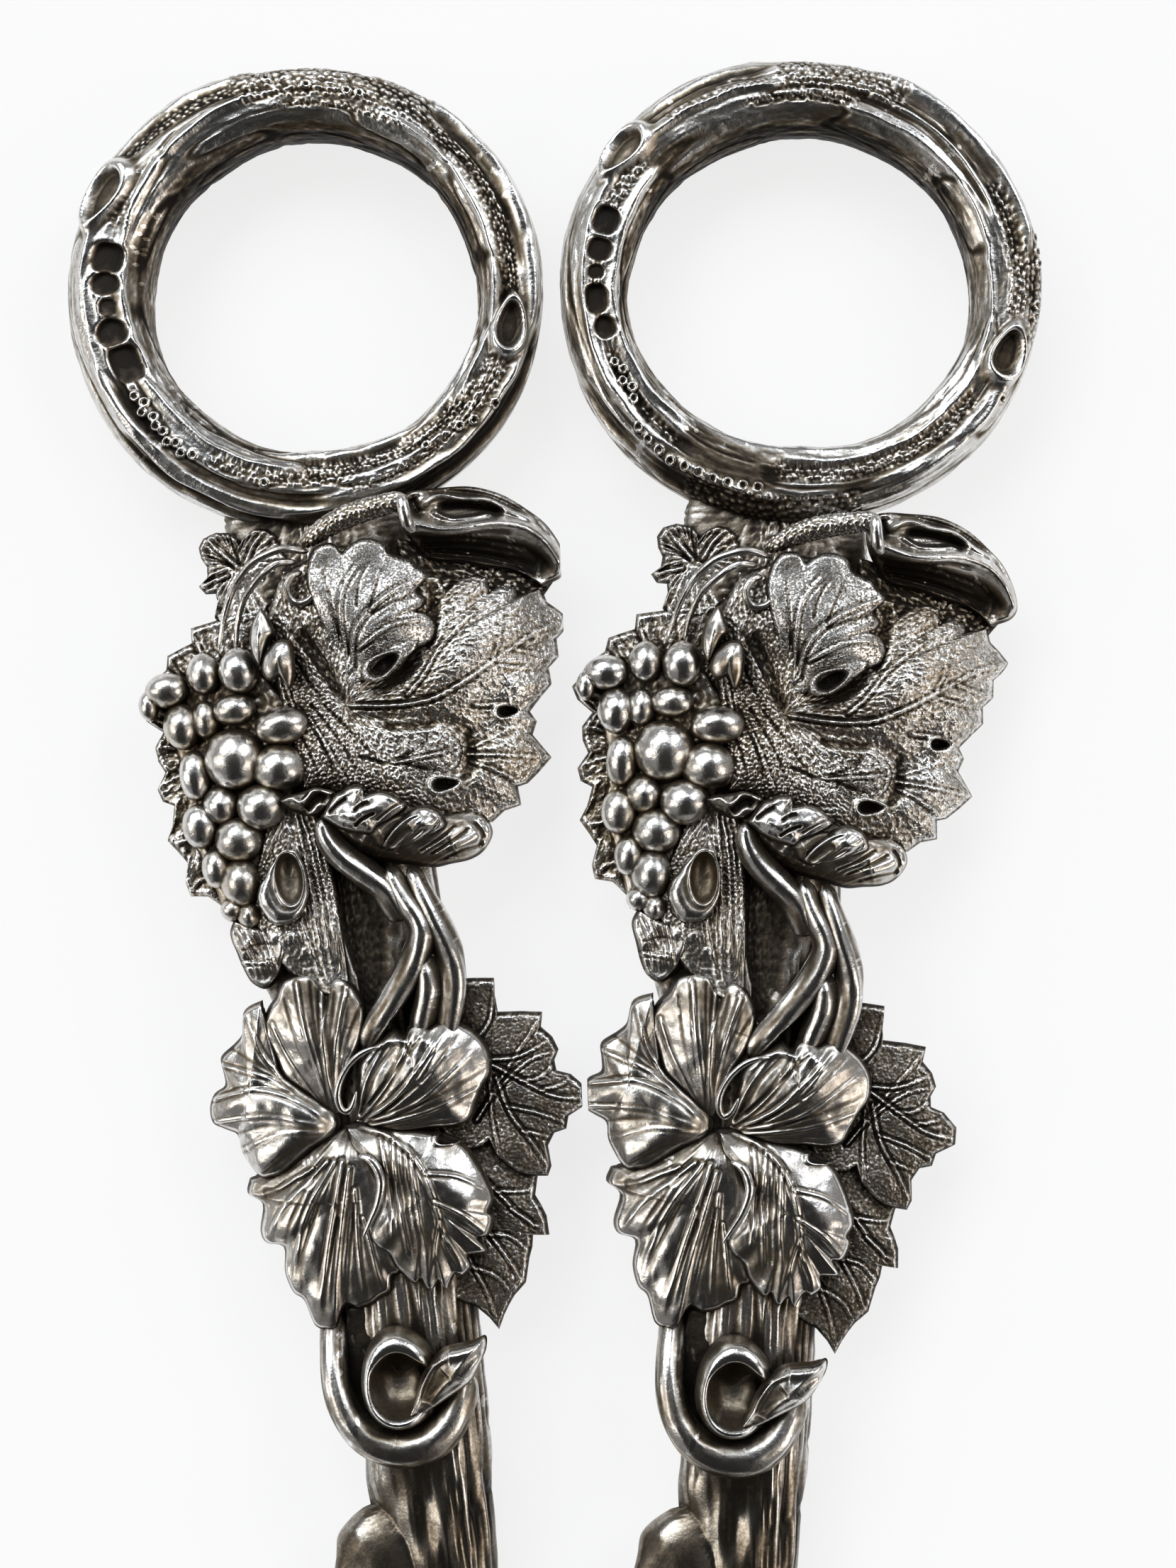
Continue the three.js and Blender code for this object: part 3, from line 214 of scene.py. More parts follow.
def line_distance(points, path):
    """Distance from each point to a bent line, and the share of the line's length where it is nearest."""
    path = np.asarray(path, float)
    spans = np.diff(path, axis=0)
    lengths = np.linalg.norm(spans, axis=1)
    starts = np.concatenate([[0], np.cumsum(lengths)])
    best = np.full(points.shape[:-1], 1e9)
    where = np.zeros(points.shape[:-1])
    for k, span in enumerate(spans):
        share = np.clip(((points - path[k]) @ span) / max(lengths[k] ** 2, 1e-9), 0, 1)
        away = np.linalg.norm(points - path[k] - share[..., None] * span, axis=-1)
        nearer = away < best
        best = np.where(nearer, away, best)
        where = np.where(nearer, (starts[k] + share * lengths[k]) / starts[-1], where)
    return best, where


def curve_through(path, steps):
    """Points along a smooth curve through the path's points, evenly numbered between them."""
    path = np.asarray(path, float)
    padded = np.concatenate([[2 * path[0] - path[1]], path, [2 * path[-1] - path[-2]]])
    out = []
    for t in np.linspace(0, len(path) - 1, steps):
        k = min(int(t), len(path) - 2)
        s = t - k
        a, b, c, d = padded[k : k + 4]
        cubic = (2 * a - 5 * b + 4 * c - d) * s ** 2 + (3 * b - a - 3 * c + d) * s ** 3
        out.append(0.5 * (2 * b + (c - a) * s + cubic))
    return np.array(out)


# Meshes

TARNISH_AND_SHADE_MOST = 1.6


def closed_patch(grid, tarnish_and_shade, wraps=False):
    """One closed skin over a grid of points: columns run round it, and rows end in caps unless they wrap."""
    rows, columns, _ = grid.shape
    points = grid.reshape(-1, 3)
    tarnish_and_shade = np.broadcast_to(tarnish_and_shade, grid.shape[:2]).reshape(-1)
    number = np.arange(rows * columns).reshape(rows, columns)
    below = number if wraps else number[:-1]
    above = np.roll(number, -1, 0) if wraps else number[1:]
    quads = np.stack([below, np.roll(below, -1, 1), np.roll(above, -1, 1), above], -1).reshape(-1, 4)
    triangles = np.zeros((0, 3), int)
    if not wraps:
        caps = [np.full(columns, len(points)), np.full(columns, len(points) + 1)]
        points = np.concatenate([points, [grid[0].mean(0), grid[-1].mean(0)]])
        tarnish_and_shade = np.concatenate([tarnish_and_shade, [tarnish_and_shade[0], tarnish_and_shade[-1]]])
        start = np.stack([caps[0], np.roll(number[0], -1), number[0]], -1)
        triangles = np.concatenate([start, np.stack([caps[1], number[-1], np.roll(number[-1], -1)], -1)])
    a, b, c, d = (points[quads[:, k]] for k in range(4))
    if np.einsum("ij,ij->i", a, np.cross(b, c)).sum() + np.einsum("ij,ij->i", a, np.cross(c, d)).sum() < 0:
        quads, triangles = quads[:, ::-1], triangles[:, ::-1]
    return points, quads, triangles, tarnish_and_shade


def add_piece(name, arm, patches, material, replaced):
    """One visible piece made of closed patches in the vine frame, riding on its arm in place of its node."""
    loops, starts = [], []
    base = total = 0
    for points, quads, triangles, _ in patches:
        for faces in (quads, triangles):
            loops.append((faces + base).reshape(-1))
            starts.append(total + np.arange(len(faces)) * faces.shape[1])
            total += faces.size
        base += len(points)
    mesh = bpy.data.meshes.new(name)
    mesh.vertices.add(base)
    places = np.concatenate([to_row(patch[0], arm) for patch in patches])
    mesh.vertices.foreach_set("co", places.astype(np.float32).reshape(-1))
    mesh.loops.add(total)
    mesh.loops.foreach_set("vertex_index", np.concatenate(loops).astype(np.int32))
    mesh.polygons.add(sum(map(len, starts)))
    mesh.polygons.foreach_set("loop_start", np.concatenate(starts).astype(np.int32))
    mesh.update(calc_edges=True)
    mesh.shade_smooth()
    # Each vertex's darkness is tarnish in recesses together with painted shade and painted highlights
    tarnish_and_shade = np.clip(np.concatenate([patch[3] for patch in patches]), 0, TARNISH_AND_SHADE_MOST)
    mesh.attributes.new("tarnish_and_shade", "FLOAT", "POINT").data.foreach_set("value", tarnish_and_shade.astype(np.float32))
    mesh.materials.append(material)
    piece = bpy.data.objects.new(name, mesh)
    bpy.context.scene.collection.objects.link(piece)
    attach(piece, arm["body"])
    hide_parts(replaced)


# Finger rings. Bands run round a ring's top between two turns in degrees, and across it a place is 0 at the
# hole's edge and 1 at the outer edge. A track is start, end, place at each, half width, depth and darkness,
# and one with no darkness is a raised ridge. Beads are start, end, place at each, half width and size. Eyes
# are punched ringlets at a turn and place. Stamps are plain recesses with half sizes along and across and a
# depth, and scars, where shoots were pruned, have half sizes and a raised rim. Dark stretches are bands made
# darker.

RINGS = {
    "left": {
        "outer": (16.9, 16.4), "hole": (11.4, 11), "hole_shift": 0.7,
        "tracks": read_numbers("""
            108 148 .76 .82 .15 .42 .8; 104 205 .6 .22 .07 .22 0; 104 150 .95 .98 .05 .15 0;
            150 235 .78 .66 .05 .14 0; -14 57 .54 .72 .2 .5 .65; 8 56 .68 .86 .07 .3 .8;
            -25 58 .8 .95 .07 .2 0; -30 66 .24 .42 .06 .2 0; 205 275 .6 .66 .08 .42 .9;
            200 268 .74 .84 .06 .2 0; 220 268 .86 .9 .06 .3 .8; 208 262 .28 .3 .05 .16 0;
            268 324 .26 .3 .13 .28 .45; 262 345 .08 .1 .06 .16 0; 300 350 .84 .9 .08 .3 .8;
            296 342 .74 .76 .05 .18 0"""),
        "beads": read_numbers("""
            56 109 .74 .74 .25 .5; 109 146 .8 .86 .08 .45; -14 54 .5 .6 .15 .42; 60 100 .4 .4 .06 .4;
            240 285 .42 .36 .1 .42; 268 324 .26 .32 .12 .34; 312 344 .42 .56 .2 .46;
            282 312 .56 .56 .08 .34; 150 160 .6 .5 .12 .4"""),
        "eyes": read_numbers("""
            90 .66; 79 .62; 75.5 .62; 100 .8; 212 .5; 215 .44; 217 .54; 220 .46; 222.5 .52; 225 .5;
            228 .56; 230 .5; 233 .56; 236 .5; 258 .48; 307 .44; 329 .75; 322 .66; 318 .56"""),
        "stamps": read_numbers("""
            169.8 .5 1.2 1.15 .6; 177.4 .5 .9 1.05 .5; 184.4 .47 .65 .65 .3; 192 .46 1.1 1.15 .55;
            202.2 .4 1.5 1.2 .5"""),
        "scars": read_numbers("153.2 .8 2.3 1.1; -9.5 .56 1.85 1.05"),
        "dark": read_numbers("-70 -20 .98 1 .3"),
    },
    "right": {
        "outer": (17.1, 16.5), "hole": (12, 11), "hole_shift": 0.1,
        "tracks": read_numbers("""
            99 134 .8 .86 .13 .45 .85; 96 140 .6 .64 .06 .2 0; 98 140 1 .98 .05 .14 0;
            140 232 .28 .22 .06 .2 0; 146 230 .68 .62 .06 .16 0; 206 250 .88 .84 .08 .32 .75;
            6 66 .62 .72 .14 .5 .75; 24 76 .42 .5 .05 .25 .7; 12 70 .82 .92 .07 .22 0;
            -6 80 .52 .6 .04 .16 0; -24 78 .26 .34 .05 .16 0; 199 238 .42 .48 .1 .35 .7;
            262 330 .34 .5 .15 .32 .4; 232 340 .1 .1 .06 .16 0; 296 336 .72 .76 .08 .2 0;
            236 262 .66 .68 .05 .2 0"""),
        "beads": read_numbers("""
            62 96 .76 .74 .24 .46; 74 106 .42 .42 .07 .42; -8 30 .6 .66 .14 .44;
            262 326 .34 .48 .14 .34; 199 234 .42 .48 .09 .46; 240 285 .8 .8 .16 .44;
            98 128 .66 .68 .06 .4; -14 8 .86 .86 .1 .44; 140 158 .5 .5 .12 .4"""),
        "eyes": read_numbers("""
            13 .9; 9.5 .9; 6.5 .9; -4 .88; -7 .88; 203 .44; 206 .38; 209 .46; 212 .4; 215 .47; 222 .66;
            226 .68; 230 .7; 234 .72; 238 .68; 242 .66; 246 .66; 250 .64; 254 .62; 258 .6; -30 .8"""),
        "stamps": read_numbers("""
            160.4 .5 1.1 1.05 .55; 169 .47 .9 1 .4; 175.8 .48 .55 .7 .3; 183.6 .47 1.15 1 .6;
            192.4 .4 .9 .95 .5"""),
        "scars": read_numbers("141.6 .78 2 1.05; -18.5 .62 1.8 1.15"),
        "dark": read_numbers("232 264 .44 .46 .17; 232 266 .9 .92 .2"),
    },
}
RING_TURNS = 900
RING_TOP_ROLLS = 88
RING_UNDER_ROLLS = 18
RING_TOP_SPAN = (-12, 192)
RING_SQUARENESS = 2.5
RING_PATH = 14.2
RING_PATH_AT_HOLE = 11.4
RING_TOP_WIDTH = 5.6
RING_ROLL_PATH = 2.85
EYE_RADIUS = 0.28


def ring_place(turns, rolls, turn, place):
    """Millimetres along and across the ring's top from a turn and place."""
    path = RING_PATH_AT_HOLE + RING_TOP_WIDTH * place
    along = ((turns - turn + 180) % 360 - 180) / 180 * math.pi * path
    aside = (rolls - math.degrees(math.acos(np.clip(2 * place - 1, -1, 1)))) / 180 * math.pi * RING_ROLL_PATH
    return np.broadcast_arrays(along, aside)


def ring_relief(ring, turns, rolls, seed):
    """How far the ring stands out, and how dark it is: tarnish in its recesses and painted shade on its
    walls, by the photograph's turn and the roll.
    """
    over, sin_turn = np.radians(rolls) * RING_ROLL_PATH, np.sin(np.radians(turns))
    spots = stacked(np.radians(turns) * RING_PATH, over)
    place = (1 + np.cos(np.radians(rolls))) / 2 + 0 * turns
    top = smoothstep(-0.05, 0.25, np.sin(np.radians(rolls))) + 0 * turns
    loop = stacked(np.cos(np.radians(turns)), sin_turn, over / 14)
    streaks = rough_noise(loop * (5, 5, 30), 1, seed + 5)
    cords = 1 - np.abs(noise(loop * (2.2, 2.2, 12), 1, seed + 6)) * 2.4
    fine = noise(loop * (30, 30, 110), 1, seed + 9)
    out = 0.11 * streaks - 0.1 * smoothstep(0.6, 1, cords) + 0.02 * fine - 0.1
    tarnish_and_shade = 0.08 - streaks * 0.55 + 0.8 * smoothstep(0.65, 1, cords) - 0.2 * fine
    # The hole's wall and the ring's underside are darkened, partly as tarnish where polishing misses and
    # partly as painted shade, most on the hole's upper side
    walls_tarnish_and_shade = smoothstep(0.26, 0.06, place) + (1 - top) * 0.4
    tarnish_and_shade = tarnish_and_shade + (0.4 + 0.7 * smoothstep(-0.2, 0.7, sin_turn)) * walls_tarnish_and_shade

    def band(start, end, place_from, place_to, half_width, soft=4, wobble=0):
        """How much of the band is at each spot, and how far from its middle line in half widths."""
        away, half = (turns - (start + end) / 2 + 180) % 360 - 180, (end - start) / 2
        middle = place_from + (place_to - place_from) * np.clip(0.5 + away / (2 * half), 0, 1) + wobble
        return fade(half - soft, half + soft, np.abs(away)) * top, np.abs(place - middle) / half_width

    uneven = 0.02 * noise(loop * 7, 1, seed + 3)
    for *stretch, depth, dark in ring["tracks"]:
        weight, across = band(*stretch, wobble=uneven)
        if dark:
            level = weight * fade(0.5, 1.15, across)
            out = out - depth * level
            tarnish_and_shade = tarnish_and_shade * (1 - 0.4 * level) + dark * level * (0.85 - 0.5 * streaks)
        else:
            level = weight * np.exp(-across ** 2 * 1.6)
            out = out + 1.5 * depth * level
            tarnish_and_shade = tarnish_and_shade * (1 - 0.8 * level) - 0.3 * level
    for k, (*stretch, size) in enumerate(ring["beads"]):
        weight, across = band(*stretch, soft=2)
        level = weight * fade(0.8, 1.1, across)
        bead = pebbles(spots, size, seed + 20 + k, 0.28)
        out = out + level * (0.4 * size * bead - 0.1)
        tarnish_and_shade = tarnish_and_shade * (1 - 0.75 * level * bead) + level * (1 - bead) * 0.6
    for turn, place_at in ring["eyes"]:
        away = np.hypot(*ring_place(turns, rolls, turn, place_at)) / EYE_RADIUS
        rim, inside, calm = bell((away - 1) / 0.3), fade(0.5, 0.85, away), fade(1.2, 1.7, away)
        out = out * (1 - 0.6 * calm) + 0.13 * rim - 0.12 * inside * (away > 0.3)
        tarnish_and_shade = tarnish_and_shade * (1 - calm) + 0.9 * inside + 0.5 * bell((away - 1.6) / 0.25) - 0.5 * rim
    for turn, place_at, half_along, half_across, depth in ring["stamps"]:
        along, aside = ring_place(turns, rolls, turn, place_at)
        corners = 2 + 1.5 * (round(turn * 7) % 3) / 2
        square = np.abs(along / half_along) ** corners + np.abs(aside / half_across) ** corners
        away = square ** (1 / corners)
        inside, rim = fade(0.82, 0.98, away), bell((away - 1.12) / 0.12)
        slope = 0.35 * np.clip(along / half_along, -1, 1)
        out = out * (1 - inside) - depth * inside * (0.8 - slope) + 0.03 * rim
        floor = 1.4 + 0.25 * noise(spots, 0.5, seed + 30) - slope
        tarnish_and_shade = tarnish_and_shade * (1 - inside) + inside * floor - 0.15 * rim
    for turn, place_at, half_along, half_across in ring["scars"]:
        along, aside = ring_place(turns, rolls, turn, place_at)
        narrow = np.clip(1 - 0.28 * along / half_along, 0.5, 1.6)
        oval = np.hypot(along / half_along, aside / half_across / narrow)
        rim, inside, calm = bell((oval - 1.05) / 0.17), fade(0.75, 0.95, oval), fade(1.15, 1.6, oval)
        out = out * (1 - calm) + 0.26 * rim - 0.6 * inside + 0.2 * calm
        tarnish_and_shade = tarnish_and_shade * (1 - calm) + inside * (0.75 + 0.3 * streaks) - 0.6 * rim
        tarnish_and_shade = tarnish_and_shade + 0.4 * bell((oval - 1.45) / 0.14)
    for stretch in ring["dark"]:
        weight, across = band(*stretch)
        tarnish_and_shade = tarnish_and_shade + 0.9 * weight * fade(0.7, 1.2, across) * (0.8 + 0.4 * streaks)
    return out, tarnish_and_shade


def ring_patch(arm):
    ring = RINGS[arm["name"]]
    turns = np.linspace(0, 360, RING_TURNS, endpoint=False)[:, None]
    top_rolls = np.linspace(*RING_TOP_SPAN, RING_TOP_ROLLS, endpoint=False)
    under_rolls = np.linspace(RING_TOP_SPAN[1], RING_TOP_SPAN[0] + 360, RING_UNDER_ROLLS, endpoint=False)
    rolls = np.concatenate([top_rolls, under_rolls])[None, :]
    uneven = 1 + 0.006 * np.sin(np.radians(3 * turns + 40)) + 0.004 * np.sin(np.radians(7 * turns))
    outer = heading(np.radians(turns)) * ring["outer"] * uneven[..., None]
    hole = heading(np.radians(turns)) * ring["hole"] / uneven[..., None] ** 1.5 + (ring["hole_shift"], 0)
    middle, half = (outer + hole) / 2, (outer - hole) / 2
    photo_turns = (turns + math.degrees(PHOTO_TILT - arm["side"] * ARM_LEAN)) % 360
    out, tarnish_and_shade = ring_relief(ring, photo_turns, rolls, arm["seed"])
    cos, sin = np.cos(np.radians(rolls)), np.sin(np.radians(rolls))
    square = (np.abs(cos) ** RING_SQUARENESS + np.abs(sin) ** RING_SQUARENESS) ** (-1 / RING_SQUARENESS)
    flat = middle + half * (square * cos)[..., None] + unit(half) * (cos * out)[..., None]
    level = RING_HALF_HEIGHT + RING_HALF_HEIGHT * square * sin + out * sin
    ring_w = RING_REACH - arm["ring_drop"] - STEM_FOOT + arm["vine_drop"]
    grid = np.stack([flat[..., 0], flat[..., 1] + ring_w, np.maximum(level, 0)], -1)
    return closed_patch(grid, tarnish_and_shade, wraps=True)


# Stem: rows of along, centre, half width and half height as shares, with the swollen burl on its left

STEM_ROWS = read_points("""
    0,-.02,.47,.97 .086,-.033,.51,1 .173,-.053,.6,1 .259,-.06,.65,1 .383,-.053,.66,1
    .506,-.067,.7,1 .593,-.127,.85,1 .654,-.167,.98,1 .716,-.153,.94,1 .815,-.08,.82,1
    .914,-.053,.75,1 .955,-.06,.8,.95 .985,-.067,.88,.62 1.02,-.067,.88,.36 1.05,-.067,.75,.3""")
STEM_HALF_WIDTH = 7.6
STEM_HALF_HEIGHT = 2.7
STEM_LEVEL = 3.5
BURL_MIDDLE = (-5.1, 6.6)
BURL_HALF_SIZES = (3.8, 5.6, 2.5)
BURL_SOFTNESS = 0.5
PANEL = read_points("452,1176 484,1222 506,1267 520,1313 529,1376 525,1413")
PANEL_HALF_WIDTHS = (0.7, 1.4, 1.9, 2.0, 1.5, 0.8)
PANEL_DEPTH = 0.7
PANEL_BEAD = 0.36
STEM_STEPS = 370
STEM_SIDES = 150
BARK_RIGHT_FROM = (4, 11)
BARK_ALL_ROUND_FROM = (14, 19)
RING_BEADS_FROM = (72, 77)
RING_BEAD = 0.42
# Painted dark reflection that grows down the foot, from none at the first place to this much at the second
FOOT_PAINTED_DARK_REFLECTION = [(22, 14, 0.12), (17, 12, 0.3), (7, 2, 0.3)]


def stem_patch():
    """The trunk: bark above, a polished foot with a burl, both painted darker as dark reflection, a sunken
    beaded panel and beads under the ring.
    """
    rows = np.array(STEM_ROWS)
    w = np.linspace(rows[0, 0], rows[-1, 0], STEM_STEPS)
    centre, wide, high = (np.interp(w, rows[:, 0], rows[:, k]) for k in (1, 2, 3))
    w = (w * VINE_LENGTH)[:, None]
    turn = full_turn(STEM_SIDES)[None, :]
    cos, sin = np.cos(turn), np.sin(turn)
    half_width, half_height = wide[:, None] * STEM_HALF_WIDTH, high[:, None] * STEM_HALF_HEIGHT
    reach = 1 / np.sqrt((cos / half_width) ** 2 + (sin / half_height) ** 2)
    middle_u = centre[:, None] * SPREAD
    size = np.sqrt(np.clip(1 - ((w - BURL_MIDDLE[1]) / BURL_HALF_SIZES[1]) ** 2, 0, 1))
    burl_u = BURL_MIDDLE[0] - middle_u
    a, b = np.maximum(BURL_HALF_SIZES[0] * size, 1e-3), np.maximum(BURL_HALF_SIZES[2] * size, 1e-3)
    square = (cos / a) ** 2 + (sin / b) ** 2
    mixed = -2 * burl_u * cos / a ** 2
    root = mixed ** 2 - 4 * square * ((burl_u / a) ** 2 - 1)
    burl = np.where(root > 0, (-mixed + np.sqrt(np.maximum(root, 0))) / (2 * square), 0)
    reach = BURL_SOFTNESS * np.logaddexp(reach / BURL_SOFTNESS, np.maximum(burl, 0) / BURL_SOFTNESS)
    u = middle_u + reach * cos
    spots = stacked(u, w, STEM_LEVEL + reach * sin)
    streaks = rough_noise(spots / (0.75, 6, 0.9), 1, 21)
    lines = 1 - 2 * np.abs(noise(spots / (0.5, 5, 0.6), 1, 23))
    bark = smoothstep(-0.4, 1.6, u) * (0.3 + 0.7 * smoothstep(*BARK_RIGHT_FROM, w))
    bark = np.clip(bark + smoothstep(*BARK_ALL_ROUND_FROM, w), 0.06, 1)
    smooth = 0.45 * noise(spots / (1, 1.6, 1), 1.7, 26) + 0.06 * noise(spots / (0.4, 3, 0.4), 1, 28)
    out = bark * (0.26 * streaks - 0.14 * smoothstep(0.5, 1, lines)) - 0.3 + (1 - bark) * smooth
    tarnish_and_shade = np.clip(0.2 - 0.8 * streaks + 0.7 * smoothstep(0.55, 1, lines), 0, 1.2) * bark
    # The smooth foot gets soft blotches, partly uneven tone and partly painted reflections, then grows
    # darker downward and on the burl as painted shade and dark reflection
    tarnish_and_shade = tarnish_and_shade + (1 - bark) * (0.05 + 0.3 * noise(spots / (1, 2, 1), 1.2, 27))
    tarnish_and_shade = tarnish_and_shade + sum(dark * smoothstep(start, end, w) for start, end, dark in FOOT_PAINTED_DARK_REFLECTION)
    tarnish_and_shade = tarnish_and_shade + 0.4 * smoothstep(12, 8, w) * smoothstep(-3, -5, u)
    panel_away, panel_share = line_distance(spots[..., :2], vine_points(PANEL, lambda u: STEM_CREST + 0 * u))
    half = np.interp(panel_share, np.linspace(0, 1, len(PANEL)), PANEL_HALF_WIDTHS)
    panel = fade(0.8, 1.0, panel_away / half) * (sin > 0)
    grains = pebbles(spots[..., :2], PANEL_BEAD, 4, 0.35)
    out = out * (1 - 0.7 * panel) - panel * (PANEL_DEPTH - 0.12 * grains)
    tarnish_and_shade = tarnish_and_shade * (1 - panel) + panel * (1.1 - 0.4 * grains)
    beaded_top = smoothstep(*RING_BEADS_FROM, w) * (sin > 0)
    beads = pebbles(spots[..., :2], RING_BEAD, 6, 0.3)
    out = out * (1 - beaded_top * 0.5) + beaded_top * (0.16 * beads - 0.05)
    tarnish_and_shade = tarnish_and_shade * (1 - 0.5 * beaded_top) + beaded_top * (1 - beads) * 0.7
    u, z = middle_u + (reach + out) * cos, STEM_LEVEL + (reach + out) * sin
    return closed_patch(stacked(u, w, z), tarnish_and_shade)


# Leaves, by pixels of the left handle. A leaf is a sheet round its vein junction. A vein has a path, a rise
# and a half width, and is a cut line where its rise is negative. A ridge has the same and a darkness:
# tarnish in cut lines, painted shade under overhangs, and a painted highlight where the darkness is
# negative. Swells are mounds of relief, and shading marks are mounds of darkness, mostly painted shade, a
# painted highlight where the amount is negative, and in a few broad places tarnish: each has a middle, an
# amount, two half sizes and a turn in degrees. Hollows are small bright-rimmed eyes: a middle, two half
# sizes and a turn.

LEAF_FALL = 3.4
LEAF_LOOKS = {
    "rounded": 0, "columns": 420, "rows": 64, "vein_weights": (1, 1), "engraved": None, "pleat": 0,
    "grain": 0, "grain_size": 0.42, "grain_dark": 0.5, "wave": 0.12, "shade": 0, "rim": 0.15, "lip": 0.45,
    "turn_down": 0,
}
MIDDLE_SHARE = 0.02
VEIN_STEPS = 24
LIP_WIDTH = 0.18
TURN_WIDTH = 1.4
UNDER_WIDTH = 0.8
UNDER_GAP = 0.08
UNDER_SHARES = np.linspace(1, MIDDLE_SHARE, 9)
# Leaf undersides are painted dark all over as shade
UNDER_PAINTED_SHADE = 0.95
FEATURES = ("veins", "ridges", "swells", "shades", "hollows")


def fall_from(crest, fall):
    return lambda u: crest - fall * (u / SPREAD) ** 2


def leaf(junction, crest, fall, thickness, edge, **features):
    """A leaf's table: a sheet whose level falls away to the side, its features, and its unusual looks."""
    rows = {key: read_rows(features.pop(key, "")) for key in FEATURES}
    sheet = {"junction": read_points(junction), "edge": read_points(edge), "thickness": thickness}
    return {**sheet, "level": fall_from(crest, fall), **rows, **LEAF_LOOKS, **features}


def edge_corners(junction, edge):
    """Steps from the junction to the edge's corners, and their turns, which only grow."""
    away = edge - junction
    corner = np.unwrap(np.arctan2(away[:, 1], away[:, 0]))
    if corner[-1] < corner[0]:
        away, corner = away[::-1], corner[::-1]
    return away, np.maximum.accumulate(corner + np.arange(len(corner)) * 1e-4)


def edge_reach(turns, junction, edge):
    """How far the edge is from the junction at each turn."""
    away, corner = edge_corners(junction, edge)
    closed = np.append(corner, corner[0] + FULL_TURN)
    ends = np.concatenate([away, away[:1]])
    k = np.searchsorted(closed, (turns - closed[0]) % FULL_TURN + closed[0], "right") - 1
    k = np.clip(k, 0, len(closed) - 2)
    span, ahead = ends[k + 1] - ends[k], heading(turns)
    crossing = ahead[:, 0] * span[:, 1] - ahead[:, 1] * span[:, 0]
    crossing = np.where(np.abs(crossing) < 1e-6, 1e-6, crossing)
    far = np.linalg.norm(ends, axis=1)
    reach = (ends[k, 0] * span[:, 1] - ends[k, 1] * span[:, 0]) / crossing
    return np.clip(reach, 0.3, np.maximum(far[k], far[k + 1]))


def vein_relief(spots, path, rise, half_width):
    """A raised rib between cut lines, or one cut line where the rise is negative, tapering to its end."""
    away, share = line_distance(spots, path)
    taper = (1 - 0.75 * share ** 1.5) * smoothstep(1.0, 0.9, share)
    half_width = max(half_width, 0.12)
    near = bell(away / half_width)
    if rise < 0:
        return rise * taper * near, taper * near
    beside = bell((away - 1.7 * half_width) / (0.7 * half_width))
    return rise * taper * (near - 0.75 * beside), taper * (0.8 * beside - 0.5 * near)


